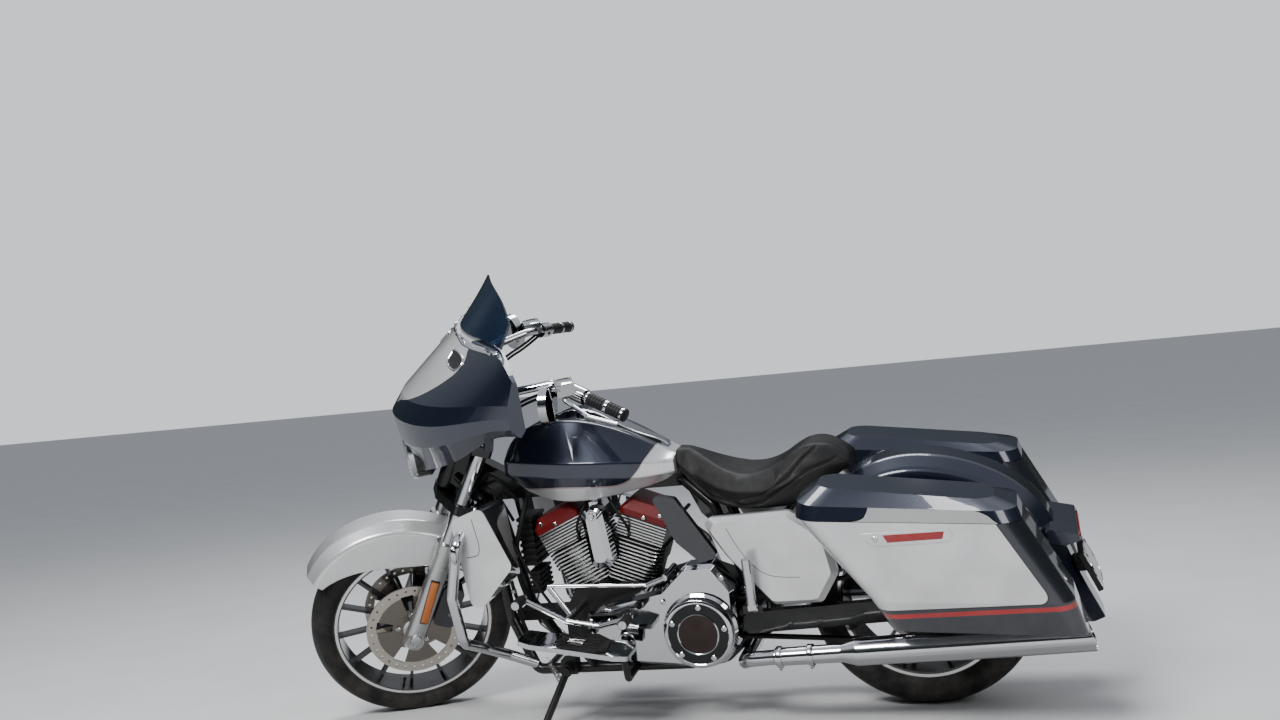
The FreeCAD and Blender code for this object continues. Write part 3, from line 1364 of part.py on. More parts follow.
def stance():
    """The placement of the leaning machine, with both tyres on the ground."""
    pitch = 0
    steer = steering_turn()
    for step in range(8):
        turn = Rotation(FORWARD, -size.lean_angle) * Rotation(ACROSS, pitch)
        rear = tyre_low(turn.multVec(REAR_HUB), turn.multVec(ACROSS), size.rear_tyre_radius,
                        size.rear_crown)
        axle = turn.multVec(steer.Rotation.multVec(ACROSS))
        front = tyre_low(turn.multVec(steer.multVec(FRONT_HUB)), axle, size.front_tyre_radius,
                         size.front_crown)
        pitch += math.degrees((front - rear) / size.wheelbase)
    return Placement(v(0, 0, -rear), turn)


def place_everything():
    """Turns the front end, leans the machine and moves its outline's middle to the origin."""
    lean = stance()
    group_placement = {CHASSIS: lean, FRONT_END: lean.multiply(steering_turn())}
    outline = FreeCAD.BoundBox()
    for item, group in nodes.values():
        item.Placement = group_placement[group].multiply(item.Placement)
    doc.recompute()
    for item, group in nodes.values():
        outline.add(item.Shape.BoundBox)
    middle = v(outline.Center.x, outline.Center.y, 0)
    for item, group in nodes.values():
        item.Placement = Placement(-middle, Rotation()).multiply(item.Placement)
    doc.recompute()
    shift = Placement(-middle, Rotation())
    return {name: shift.multiply(place) for name, place in group_placement.items()}


def report_joint(name, place, point, axis):
    at = place.multVec(point)
    along = place.Rotation.multVec(axis)
    print(f"joint {name} {at.x:.4f} {at.y:.4f} {at.z:.4f} {along.x:.7f} {along.y:.7f} {along.z:.7f}")


def check_and_export():
    """Stops on a failed object or an unsound shape, then writes each sub-part."""
    for item in doc.Objects:
        if any(state in ("Invalid", "Error") for state in item.State):
            raise RuntimeError(f"{item.Label} failed: {item.State}")
    unsound = [name for name, (item, group) in nodes.items()
               if item.Shape.isNull() or not item.Shape.isValid() or item.Shape.Volume <= 0]
    if unsound:
        raise RuntimeError(f"unsound shapes: {unsound}")
    for name, (item, group) in nodes.items():
        item.Shape.exportStep(f"parts/{name}.step")
        print(f"node {name} solids {len(item.Shape.Solids)} volume {item.Shape.Volume:.0f}")


make_wheels()
make_brakes_and_drive()
make_fork()
make_clamps()
make_front_fender()
make_calipers()
make_fairing()
make_screen()
make_handlebar()
make_frame()
make_swingarm()
make_engine()
make_primary()
make_exhaust()
make_tank()
door_hinge = make_console()
make_rear_fender()
make_seat()
make_side_covers()
make_bags()
make_rear_lights()
plate_place = make_plate()
make_guards()
make_foot_controls()
board_brackets = make_boards()
make_side_stand()
peg_hinge, peg_brackets = make_passenger_pegs()
node("foot_brackets", Part.makeCompound(board_brackets + peg_brackets))
doc.recompute()
places = place_everything()
check_and_export()

lean_place, front_place = places[CHASSIS], places[FRONT_END]
slope = math.atan(size.bag_split_slope)
lid_line = v(-math.cos(slope), 0, -math.sin(slope))
lid_height = size.bag_split - 0.5
report_joint("steering", front_place, head_point(550), STEERING_UP)
report_joint("front_wheel_spin", front_place, FRONT_HUB, ACROSS)
report_joint("rear_wheel_spin", lean_place, REAR_HUB, ACROSS)
report_joint("side_stand", lean_place,
             v(size.stand_pivot_x, size.stand_pivot_y, size.stand_pivot_height), ACROSS)
report_joint("bag_lid_left", lean_place, v(0, size.hinge_out, lid_height), lid_line)
report_joint("bag_lid_right", lean_place, v(0, -size.hinge_out, lid_height), -lid_line)
report_joint("fuel_door", lean_place, door_hinge, ACROSS)
board_along = v(math.cos(math.radians(size.board_slope)), 0,
                math.sin(math.radians(size.board_slope)))
report_joint("floorboard_left", lean_place, board_placement(1).Base, board_along)
report_joint("floorboard_right", lean_place, board_placement(-1).Base, -board_along)
report_joint("passenger_peg_left", lean_place, peg_hinge, -FORWARD)
report_joint("passenger_peg_right", lean_place, v(peg_hinge.x, -peg_hinge.y, peg_hinge.z), FORWARD)
hole_height = size.plate_height / 2 - size.plate_hole_drop
hole_middle = size.holder_thickness / 2
for word, side in (("left", 1), ("right", -1)):
    report_joint(f"plate_hole_{word}", lean_place.multiply(plate_place),
                 v(hole_middle, side * size.plate_hole_spacing / 2, hole_height), -FORWARD)
report_joint("stand_foot", lean_place, stand_foot_point()[0], -UP)
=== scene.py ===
import json
import math

import bmesh
import bpy
from bpy.props import FloatProperty, FloatVectorProperty, PointerProperty
from mathutils import Matrix, Vector


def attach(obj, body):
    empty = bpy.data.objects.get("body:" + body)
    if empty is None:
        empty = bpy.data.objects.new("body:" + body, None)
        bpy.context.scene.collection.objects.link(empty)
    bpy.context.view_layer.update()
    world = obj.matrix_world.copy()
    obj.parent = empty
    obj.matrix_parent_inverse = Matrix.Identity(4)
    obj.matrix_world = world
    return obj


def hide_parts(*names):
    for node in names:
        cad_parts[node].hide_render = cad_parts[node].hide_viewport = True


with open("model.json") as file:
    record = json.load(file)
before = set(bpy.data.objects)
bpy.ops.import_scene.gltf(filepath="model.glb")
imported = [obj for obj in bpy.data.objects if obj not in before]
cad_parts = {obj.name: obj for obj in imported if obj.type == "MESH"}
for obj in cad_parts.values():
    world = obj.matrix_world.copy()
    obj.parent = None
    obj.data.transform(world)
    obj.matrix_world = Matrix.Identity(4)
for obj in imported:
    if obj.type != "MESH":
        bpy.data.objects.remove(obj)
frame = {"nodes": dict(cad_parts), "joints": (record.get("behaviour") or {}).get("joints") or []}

bl_info = {
    "name": "Touring cruiser dressing",
    "version": (1, 0, 0),
    "blender": (4, 5, 0),
    "location": "View3D > Sidebar > Cruiser",
    "description": "Paint, leather, rubber and small fittings for a parked touring cruiser",
    "category": "Object",
}

NODES = frame["nodes"]
JOINTS = {joint["name"]: joint for joint in frame["joints"]}

# The machine's own upright axes as they stand in the row frame, parked on its side stand.
FORWARD = Vector((0.9999628, -0.0012001, -0.0085394))
LEFT = Vector((0.0, 0.9902681, -0.1391731))
UPWARD = FORWARD.cross(LEFT)
REAR_HUB_HEIGHT = 0.3276
RAKE = math.radians(26.0)
STEERING_ANGLE = math.radians(30.0)
FRONT_HUB_HEIGHT = 0.319
FRONT_HUB = Vector((1.625, 0.0, FRONT_HUB_HEIGHT))
FORK_OFFSET = 0.013
STEERING_FORE = Vector((math.cos(RAKE), 0.0, math.sin(RAKE)))
STEERING_UP = Vector((-math.sin(RAKE), 0.0, math.cos(RAKE)))
STEERING_POINT = FRONT_HUB + STEERING_FORE * FORK_OFFSET
REAR_HUB = Vector(JOINTS["rear_wheel_spin"]["pos_m"])
REAR_AXLE = Vector((0.0, 0.0, REAR_HUB_HEIGHT))

# The photograph's camera: how it was turned, pitched and rolled, and where it stood.
CAMERA_TURN, CAMERA_PITCH, CAMERA_ROLL = (math.radians(angle) for angle in (16.66, 0.58, 5.43))
CAMERA_FROM_HUB = Vector((-0.3878, 3.9036, 0.6932))
PHOTO_WIDTH, FOCAL_LENGTH = 1280, 1338.5  # pixels
SENSOR_WIDTH = 36.0  # mm


def parked():
    """The matrix from the upright machine to the row frame."""
    turn = Matrix((FORWARD, LEFT, UPWARD)).transposed().to_4x4()
    return Matrix.Translation(REAR_HUB) @ turn @ Matrix.Translation((0, 0, -REAR_HUB_HEIGHT))


CHASSIS = parked()
FORK = (CHASSIS @ Matrix.Translation(STEERING_POINT)
        @ Matrix.Rotation(STEERING_ANGLE, 4, STEERING_UP) @ Matrix.Translation(-STEERING_POINT))


# Shader node groups and materials

class Board:
    """A node tree being wired: each call adds a node and gives back its first output."""

    def __init__(self, tree):
        self.tree = tree

    def add(self, kind, inputs=None, **settings):
        node = self.tree.nodes.new(kind)
        for key, value in settings.items():
            setattr(node, key, value)
        for key, value in (inputs or {}).items():
            socket = node.inputs[key]
            if isinstance(value, bpy.types.NodeSocket):
                self.tree.links.new(value, socket)
            else:
                socket.default_value = value
        return node

    def maths(self, operation, a, b=0.0):
        return self.add("ShaderNodeMath", {0: a, 1: b}, operation=operation).outputs[0]

    def length(self, a, b):
        """The length of the slant over two legs at right angles."""
        return self.maths("SQRT", self.maths("ADD", self.maths("MULTIPLY", a, a),
                                             self.maths("MULTIPLY", b, b)))

    def mix(self, factor, a, b):
        node = self.add("ShaderNodeMix", {0: factor, 6: a, 7: b}, data_type="RGBA")
        return node.outputs[2]

    def blend(self, factor, a, b):
        return self.add("ShaderNodeMix", {0: factor, 2: a, 3: b}, data_type="FLOAT").outputs[0]

    def span(self, value, low, high, to_low=0.0, to_high=1.0):
        return self.add("ShaderNodeMapRange", {0: value, 1: low, 2: high, 3: to_low,
                                               4: to_high}).outputs[0]

    def noise(self, vector, scale, detail=3.0, roughness=0.5):
        return self.add("ShaderNodeTexNoise", {"Vector": vector, "Scale": scale, "Detail": detail,
                                               "Roughness": roughness}).outputs[0]

    def cells(self, vector, scale, feature="F1", output="Distance"):
        return self.add("ShaderNodeTexVoronoi", {"Vector": vector, "Scale": scale},
                        feature=feature).outputs[output]

    def bump(self, height, strength, distance, normal=None):
        inputs = {"Height": height, "Strength": strength, "Distance": distance}
        if normal is not None:
            inputs["Normal"] = normal
        return self.add("ShaderNodeBump", inputs).outputs[0]

    def parts(self, vector):
        return self.add("ShaderNodeSeparateXYZ", {0: vector}).outputs


SOCKETS = {"vector": "NodeSocketVector", "colour": "NodeSocketColor", "value": "NodeSocketFloat"}


def new_group(name, inputs, outputs):
    """An empty shader node group with named sockets, and the board to wire it on."""
    tree = bpy.data.node_groups.new(name, "ShaderNodeTree")
    for label, kind, value in inputs:
        socket = tree.interface.new_socket(label, in_out="INPUT", socket_type=SOCKETS[kind])
        if value is not None:
            socket.default_value = value
    for label, kind in outputs:
        tree.interface.new_socket(label, in_out="OUTPUT", socket_type=SOCKETS[kind])
    source = tree.nodes.new("NodeGroupInput")
    sink = tree.nodes.new("NodeGroupOutput")
    return tree, Board(tree), source.outputs, sink.inputs


def flake_group():
    """Metallic paint: fine flakes that catch the light, and the slow waves of a sprayed coat."""
    tree, board, given, out = new_group(
        "Metallic flake",
        [("Vector", "vector", None), ("Colour", "colour", (0.5, 0.5, 0.5, 1)),
         ("Flake colour", "colour", (0.8, 0.8, 0.8, 1)), ("Flake share", "value", 0.25),
         ("Roughness", "value", 0.3)],
        [("Colour", "colour"), ("Roughness", "value"), ("Normal", "vector")])
    flakes = board.cells(given["Vector"], 1700.0, output="Color")
    shade = board.parts(flakes)[0]
    lit = board.maths("MULTIPLY", board.maths("POWER", shade, 3.0), given["Flake share"])
    colour = board.mix(lit, given["Colour"], given["Flake colour"])
    clouds = board.noise(given["Vector"], 7.0, 4.0)
    darker = board.mix(board.span(clouds, 0.35, 0.65, 0.0, 0.16), colour, (0.0, 0.0, 0.0, 1))
    board.tree.links.new(darker, out["Colour"])
    sheen = board.span(clouds, 0.3, 0.7, -0.03, 0.04)
    board.tree.links.new(board.maths("ADD", given["Roughness"], sheen), out["Roughness"])
    waves = board.noise(given["Vector"], 260.0, 2.0)
    board.tree.links.new(board.bump(waves, 0.06, 0.0006), out["Normal"])
    return tree


def dust_group():
    """Road dust that settles low down and in patches, over a colour and a roughness."""
    tree, board, given, out = new_group(
        "Road dust",
        [("Vector", "vector", None), ("Colour", "colour", (0.5, 0.5, 0.5, 1)),
         ("Roughness", "value", 0.4), ("Amount", "value", 0.3), ("Top", "value", 0.7)],
        [("Colour", "colour"), ("Roughness", "value")])
    up = board.parts(given["Vector"])[2]
    low = board.maths("SUBTRACT", 1.0, board.maths("DIVIDE", up, given["Top"]))
    low = board.add("ShaderNodeClamp", {0: low}).outputs[0]
    patches = board.span(board.noise(given["Vector"], 16.0, 7.0, 0.65), 0.38, 0.72)
    specks = board.span(board.noise(given["Vector"], 340.0, 3.0), 0.5, 0.75)
    cover = board.maths("MULTIPLY", board.maths("MULTIPLY", patches, low), given["Amount"])
    cover = board.maths("ADD", cover, board.maths("MULTIPLY", specks,
                                                  board.maths("MULTIPLY", cover, 0.6)))
    board.tree.links.new(board.mix(cover, given["Colour"], (0.30, 0.26, 0.21, 1)), out["Colour"])
    board.tree.links.new(board.blend(cover, given["Roughness"], 0.85), out["Roughness"])
    return tree


def polish_group():
    """Polished or brushed metal: faint scratches, finger marks and a slow change of shine."""
    tree, board, given, out = new_group(
        "Polished metal",
        [("Vector", "vector", None), ("Roughness", "value", 0.08), ("Scratches", "value", 0.2),
         ("Stretch", "vector", (1.0, 1.0, 1.0))],
        [("Roughness", "value"), ("Normal", "vector")])
    along = board.add("ShaderNodeVectorMath", {0: given["Vector"], 1: given["Stretch"]},
                      operation="MULTIPLY").outputs[0]
    fine = board.noise(along, 900.0, 4.0, 0.7)
    marks = board.noise(given["Vector"], 34.0, 5.0, 0.6)
    rough = board.maths("ADD", given["Roughness"], board.span(marks, 0.45, 0.8, 0.0, 0.07))
    scored = board.maths("MULTIPLY", given["Scratches"], 0.3)
    rough = board.maths("ADD", rough, board.maths("MULTIPLY", board.span(fine, 0.5, 0.8), scored))
    board.tree.links.new(rough, out["Roughness"])
    board.tree.links.new(board.bump(fine, board.maths("MULTIPLY", given["Scratches"], 0.4),
                                    0.0002), out["Normal"])
    return tree


def grain_group():
    """The grain of cast, wrinkled or moulded stuff: cells over a finer noise, with painted shade
    darkening the pits of the cells.
    """
    tree, board, given, out = new_group(
        "Cast grain",
        [("Vector", "vector", None), ("Colour", "colour", (0.03, 0.03, 0.03, 1)),
         ("Roughness", "value", 0.5), ("Scale", "value", 700.0), ("Depth", "value", 0.0003)],
        [("Colour", "colour"), ("Roughness", "value"), ("Normal", "vector")])
    cells = board.add("ShaderNodeTexVoronoi", {"Vector": given["Vector"], "Scale": given["Scale"]},
                      feature="SMOOTH_F1").outputs["Distance"]
    fine = board.noise(given["Vector"], 1500.0, 2.0)
    height = board.maths("ADD", cells, board.maths("MULTIPLY", fine, 0.3))
    rubbed = board.span(board.noise(given["Vector"], 22.0, 6.0, 0.65), 0.5, 0.78, 0.0, 0.2)
    lighter = board.mix(rubbed, given["Colour"], (0.04, 0.04, 0.04, 1))
    # Painted shade: the pits at the cells' middles are darkened by up to a quarter.
    pits_shaded = board.mix(board.span(cells, 0.0, 0.7, 0.25, 0.0), lighter, (0.0, 0.0, 0.0, 1))
    board.tree.links.new(pits_shaded, out["Colour"])
    board.tree.links.new(board.maths("ADD", given["Roughness"],
                                     board.span(cells, 0.0, 0.8, 0.08, -0.06)), out["Roughness"])
    board.tree.links.new(board.bump(height, 0.5, given["Depth"]), out["Normal"])
    return tree


def leather_group():
    """Leather: pebbled cells with creases between them, darkened as painted shade, and rubbed high
    places.
    """
    tree, board, given, out = new_group(
        "Leather grain",
        [("Vector", "vector", None), ("Colour", "colour", (0.02, 0.02, 0.02, 1)),
         ("Grain", "value", 620.0), ("Roughness", "value", 0.42)],
        [("Colour", "colour"), ("Roughness", "value"), ("Normal", "vector")])
    warp = board.add("ShaderNodeTexNoise", {"Vector": given["Vector"], "Scale": 90.0}).outputs[1]
    moved = board.add("ShaderNodeVectorMath", {0: warp, 1: (0.0022, 0.0022, 0.0022)},
                      operation="MULTIPLY").outputs[0]
    place = board.add("ShaderNodeVectorMath", {0: given["Vector"], 1: moved},
                      operation="ADD").outputs[0]
    cells = board.add("ShaderNodeTexVoronoi", {"Vector": place, "Scale": given["Grain"]},
                      feature="DISTANCE_TO_EDGE").outputs["Distance"]
    crease = board.span(cells, 0.0, 0.12)
    folds = board.noise(given["Vector"], 28.0, 6.0, 0.6)
    rubbed = board.span(board.noise(given["Vector"], 9.0, 4.0), 0.5, 0.75, 0.0, 0.35)
    colour = board.mix(rubbed, given["Colour"], (0.016, 0.016, 0.016, 1))
    # Painted shade: the creases between the pebbles are darkened to near black.
    colour = board.mix(board.maths("SUBTRACT", 1.0, crease), colour, (0.002, 0.002, 0.002, 1))
    board.tree.links.new(colour, out["Colour"])
    rough = board.maths("ADD", given["Roughness"], board.span(folds, 0.35, 0.7, -0.05, 0.1))
    board.tree.links.new(rough, out["Roughness"])
    height = board.maths("ADD", crease, board.maths("MULTIPLY", folds, 1.6))
    board.tree.links.new(board.bump(height, 0.55, 0.0004), out["Normal"])
    return tree


def stripe_group():
    """1 inside a band of a value, 0 outside it, with a soft edge."""
    tree, board, given, out = new_group(
        "Stripe",
        [("Value", "value", 0.0), ("Centre", "value", 0.0), ("Half width", "value", 0.002),
         ("Softness", "value", 0.0006)],
        [("Mask", "value")])
    off = board.maths("ABSOLUTE", board.maths("SUBTRACT", given["Value"], given["Centre"]))
    inside = board.maths("DIVIDE", board.maths("SUBTRACT", given["Half width"], off),
                         given["Softness"])
    board.tree.links.new(board.add("ShaderNodeClamp", {0: board.maths("ADD", inside, 0.5)})
                         .outputs[0], out["Mask"])
    return tree


GROUPS = {}


def make_groups():
    """Builds the shared node groups once."""
    makers = {"flake": flake_group, "dust": dust_group, "polish": polish_group,
              "grain": grain_group, "leather": leather_group, "stripe": stripe_group}
    for name, maker in makers.items():
        GROUPS[name] = maker()


class Finish(Board):
    """A material being made. Its coordinates are metres along, across and up the machine."""

    def __init__(self, name, place=CHASSIS):
        self.material = bpy.data.materials.new(name)
        self.material.use_nodes = True
        super().__init__(self.material.node_tree)
        self.shader = self.tree.nodes["Principled BSDF"]
        coords = self.add("ShaderNodeTexCoord").outputs["Object"]
        back = place.inverted()
        self.vector = self.add("ShaderNodeMapping", {
            "Vector": coords, "Location": back.translation,
            "Rotation": back.to_euler()}).outputs[0]

    def group(self, name, **inputs):
        values = {key.replace("_", " "): value for key, value in inputs.items()}
        node = self.add("ShaderNodeGroup", node_tree=GROUPS[name])
        if "Vector" in node.inputs:
            self.tree.links.new(self.vector, node.inputs["Vector"])
        for key, value in values.items():
            if isinstance(value, bpy.types.NodeSocket):
                self.tree.links.new(value, node.inputs[key])
            else:
                node.inputs[key].default_value = value
        return node.outputs

    def facing(self):
        """The surface's normal as its share along, across and up the machine."""
        normal = self.add("ShaderNodeNewGeometry").outputs["Normal"]
        local = self.add("ShaderNodeVectorTransform", {0: normal}, vector_type="NORMAL",
                         convert_from="WORLD", convert_to="OBJECT").outputs[0]
        return self.parts(self.add("ShaderNodeMapping", {
            "Vector": local, "Rotation": CHASSIS.inverted().to_euler()},
            vector_type="VECTOR").outputs[0])

    def curve(self, value, points, low, high):
        """A value between low and high that follows a drawn line through the points."""
        node = self.add("ShaderNodeFloatCurve")
        first, last = points[0][0], points[-1][0]
        self.tree.links.new(self.span(value, first, last), node.inputs["Value"])
        line = node.mapping.curves[0]
        shares = [((a - first) / (last - first), (b - low) / (high - low)) for a, b in points]
        while len(line.points) < len(shares):
            line.points.new(0.5, 0.5)
        for point, share in zip(line.points, shares):
            point.location = share
        node.mapping.update()
        return self.span(node.outputs[0], 0.0, 1.0, low, high)

    def set(self, **inputs):
        """Links or sets inputs of the shader, named with _ for spaces."""
        for key, value in inputs.items():
            socket = self.shader.inputs[key.replace("_", " ")]
            if isinstance(value, bpy.types.NodeSocket):
                self.tree.links.new(value, socket)
            else:
                socket.default_value = value
        return self.material


STRIPE_BLACK = (0.003, 0.003, 0.004, 1)
DULL_SPECULAR = 0.22
# Painted reflection: chrome that faces the horizon is painted darker, as if it mirrored a darker
# room than chrome that faces the sky.
PAINTED_REFLECTION_SHADE = 0.45


def paint(finish, colour, roughness=0.3, metallic=0.55, dust=0.12, top=0.75, flake_share=0.2):
    """Clear-coated metallic paint over a colour that may change over the surface."""
    bright = finish.mix(0.16, colour, (0.55, 0.62, 0.75, 1))
    flake = finish.group("flake", Colour=colour, Roughness=roughness, Flake_colour=bright,
                         Flake_share=flake_share)
    soiled = finish.group("dust", Colour=flake["Colour"], Roughness=flake["Roughness"],
                          Amount=dust, Top=top)
    return finish.set(Base_Color=soiled["Colour"], Roughness=soiled["Roughness"],
                      Normal=flake["Normal"], Metallic=metallic, Coat_Weight=1.0,
                      Coat_Roughness=0.03, Coat_IOR=1.5)


def plain_paint(name, colour, place=CHASSIS, **settings):
    return paint(Finish(name, place), (*colour, 1), **settings)


def metal(name, colour, roughness=0.08, scratches=0.2, stretch=(1, 1, 1), dust=0.1,
          place=CHASSIS, tint=None):
    """Bare or plated metal, with scratches, finger marks, a little road dust and a painted
    reflection that darkens faces looking sideways or down.
    """
    finish = Finish(name, place)
    shine = finish.group("polish", Roughness=roughness, Scratches=scratches, Stretch=stretch)
    base = (*colour, 1) if tint is None else tint(finish, (*colour, 1))
    # Painted reflection: faces that look sideways or down get a darker base colour.
    upward = finish.span(finish.facing()[2], -0.25, 0.6)
    base = finish.mix(upward, tuple(part * PAINTED_REFLECTION_SHADE for part in colour) + (1,), base)
    soiled = finish.group("dust", Colour=base, Roughness=shine["Roughness"], Amount=dust, Top=0.6)
    return finish.set(Base_Color=soiled["Colour"], Roughness=soiled["Roughness"],
                      Normal=shine["Normal"], Metallic=1.0)


def moulded(name, colour, roughness=0.45, scale=700.0, depth=0.0003, coat=0.0, metallic=0.0,
            dust=0.04, place=CHASSIS):
    """Moulded plastic, rubber or wrinkle-painted metal with its own grain."""
    finish = Finish(name, place)
    grain = finish.group("grain", Colour=(*colour, 1), Roughness=roughness, Scale=scale,
                         Depth=depth)
    soiled = finish.group("dust", Colour=grain["Colour"], Roughness=grain["Roughness"],
                          Amount=dust, Top=0.7)
    return finish.set(Base_Color=soiled["Colour"], Roughness=soiled["Roughness"],
                      Normal=grain["Normal"], Metallic=metallic, Coat_Weight=coat * 0.6,
                      Coat_Roughness=0.08, Specular_IOR_Level=DULL_SPECULAR)


def clear(name, colour, roughness=0.03, transmission=1.0, alpha=1.0):
    """Lens or screen plastic: a plain tint with faint wipe marks in its shine."""
    finish = Finish(name)
    shine = finish.group("polish", Roughness=roughness, Scratches=0.04)
    return finish.set(Base_Color=(*colour, 1), Roughness=shine["Roughness"],
                      Normal=shine["Normal"], Transmission_Weight=transmission, IOR=1.45,
                      Alpha=alpha, Coat_Weight=0.6, Coat_Roughness=0.03)


def tank_paint(name, sizes):
    """Dark blue over silver, parted by a sweeping line with a red pinstripe."""
    finish = Finish(name)
    along, _, up = finish.parts(finish.vector)
    line = finish.curve(along, TANK_LINE, 0.6, 0.95)
    above = finish.maths("SUBTRACT", up, line)
    upper = finish.span(above, -0.0006, 0.0006)
    two = finish.mix(upper, (*sizes.silver, 1), (*sizes.navy, 1))
    black = finish.group("stripe", Value=above, Centre=0.0015, Half_width=0.0022)["Mask"]
    two = finish.mix(black, two, STRIPE_BLACK)
    red = finish.group("stripe", Value=above, Centre=-0.0035, Half_width=0.0008)["Mask"]
    return paint(finish, finish.mix(red, two, (*sizes.red, 1)), dust=0.05)


# Where one colour gives way to the other, as along and up the machine in metres.
TANK_LINE = [(0.62, 0.90), (0.70, 0.845), (0.735, 0.806), (0.77, 0.762), (0.80, 0.740),
             (0.831, 0.732), (0.884, 0.7335), (0.946, 0.738), (1.013, 0.741), (1.09, 0.738),
             (1.2, 0.73)]
LID_LINE = [(-0.31, 0.60), (-0.242, 0.641), (-0.22, 0.659), (-0.185, 0.673), (-0.051, 0.697),
            (0.045, 0.713), (0.056, 0.709), (0.072, 0.682), (0.084, 0.670), (0.10, 0.6665),
            (0.163, 0.669), (0.229, 0.673), (0.27, 0.70)]
STRIP_LINE = [(1.05, 0.0), (1.064, 0.02), (1.073, 0.056), (1.085, 0.088), (1.110, 0.129),
              (1.144, 0.163), (1.168, 0.176), (1.19, 0.173), (1.215, 0.150), (1.26, 0.118)]


def bag_paint(name, sizes):
    """Dark band with a silver panel on each outer side, a red stripe low down."""
    finish = Finish(name)
    along, across, up = finish.parts(finish.vector)
    side = finish.maths("ABSOLUTE", across)
    lean = finish.maths("ADD", along, finish.maths("MULTIPLY", up, BAG_REAR_SLOPE))
    reach = finish.maths("SUBTRACT", lean, BAG_REAR_EDGE)
    rise = finish.maths("SUBTRACT", up, BAG_LOWER_EDGE)
    corner = 0.035
    deep = finish.maths("MINIMUM", reach, rise)
    away = finish.maths("MAXIMUM", finish.maths("SUBTRACT", corner, reach), 0.0)
    below = finish.maths("MAXIMUM", finish.maths("SUBTRACT", corner, rise), 0.0)
    arc = finish.length(away, below)
    deep = finish.maths("MINIMUM", deep, finish.maths("SUBTRACT", corner, arc))
    inner = finish.maths("SUBTRACT", side, BAG_INNER_EDGE)
    deep = finish.maths("MINIMUM", deep, inner)
    panel = finish.span(deep, -0.0006, 0.0006)
    colour = finish.mix(panel, (*sizes.charcoal, 1), (*sizes.silver, 1))
    black = finish.group("stripe", Value=deep, Centre=-0.001, Half_width=0.0018)["Mask"]
    colour = finish.mix(black, colour, STRIPE_BLACK)
    low = finish.maths("SUBTRACT", up, finish.span(along, -0.45, 0.1, BAG_STRIPE_UP + 0.004,
                                                   BAG_STRIPE_UP))
    red = finish.group("stripe", Value=low, Centre=0.0, Half_width=0.0065)["Mask"]
    red = finish.maths("MULTIPLY", red, finish.span(side, 0.30, 0.32))
    return paint(finish, finish.mix(red, colour, (*sizes.red, 1)), dust=0.16, top=0.55)


BAG_REAR_SLOPE = -0.545
BAG_REAR_EDGE = -0.589
BAG_LOWER_EDGE = 0.4185
BAG_INNER_EDGE = 0.34
BAG_STRIPE_UP = 0.400
# How far outward a face of a lid has to look to be silver, and how softly that begins.
LID_SIDE_FACING = 0.74
LID_SIDE_SOFTNESS = 0.04


def two_tone(name, sizes, place, line, across_line=False, low=0.0, high=1.0, dust=0.05):
    """Dark blue beyond a drawn line and silver short of it, parted by a thin black stripe."""
    finish = Finish(name, place)
    along, across, up = finish.parts(finish.vector)
    side = finish.maths("ABSOLUTE", across)
    if across_line:
        above = finish.maths("SUBTRACT", side, finish.curve(up, line, low, high))
    else:
        above = finish.maths("SUBTRACT", up, finish.curve(along, line, low, high))
        outward = finish.maths("MULTIPLY", finish.facing()[1], finish.maths("SIGN", across))
        above = finish.maths("MAXIMUM", above, finish.span(
            outward, LID_SIDE_FACING, LID_SIDE_FACING + LID_SIDE_SOFTNESS, 0.1, -0.1))
    upper = finish.span(above, -0.0006, 0.0006)
    two = finish.mix(upper, (*sizes.silver, 1), (*sizes.navy, 1))
    black = finish.group("stripe", Value=above, Centre=0.0012, Half_width=0.0016)["Mask"]
    return paint(finish, finish.mix(black, two, STRIPE_BLACK), dust=dust)


def shield_paint(name, sizes):
    """Silver leg shields whose rear faces, towards the engine, are dark."""
    finish = Finish(name)
    along, across, up = finish.parts(finish.vector)
    edge = finish.curve(up, SHIELD_LINE, 1.1, 1.3)
    silver = finish.span(finish.maths("SUBTRACT", along, edge), -0.0008, 0.0008)
    outer = finish.span(finish.maths("ABSOLUTE", across), 0.286, 0.287)
    silver = finish.maths("MAXIMUM", silver, outer)
    outward = finish.maths("MULTIPLY", finish.facing()[1], finish.maths("SIGN", across))
    silver = finish.maths("MULTIPLY", silver, finish.span(outward, -0.45, -0.35))
    return paint(finish, finish.mix(silver, (0.012, 0.014, 0.02, 1), (*sizes.silver, 1)),
                 dust=0.15)


SHIELD_LINE = [(0.40, 1.24), (0.48, 1.19), (0.566, 1.165), (0.627, 1.172), (0.674, 1.186),
               (0.709, 1.232), (0.74, 1.25)]


def from_axle(finish, hub):
    """How far each place lies from a wheel's axle, seen from the side."""
    along, _, up = finish.parts(finish.vector)
    return finish.length(finish.maths("SUBTRACT", along, hub.x),
                         finish.maths("SUBTRACT", up, hub.z))


def wheel_metal(name, hub, radius, place):
    """Gloss black casting whose rim lip is machined bright."""
    finish = Finish(name, place)
    far = from_axle(finish, hub)
    lip = finish.group("stripe", Value=far, Centre=radius, Half_width=0.0042)["Mask"]
    shine = finish.group("polish", Roughness=0.12, Scratches=0.3)
    colour = finish.mix(lip, (0.012, 0.012, 0.014, 1), (0.72, 0.72, 0.72, 1))
    rough = finish.blend(lip, 0.16, shine["Roughness"])
    soiled = finish.group("dust", Colour=colour, Roughness=rough, Amount=0.14, Top=0.9)
    return finish.set(Base_Color=soiled["Colour"], Roughness=soiled["Roughness"],
                      Normal=shine["Normal"], Metallic=lip, Coat_Weight=0.5, Coat_Roughness=0.05)


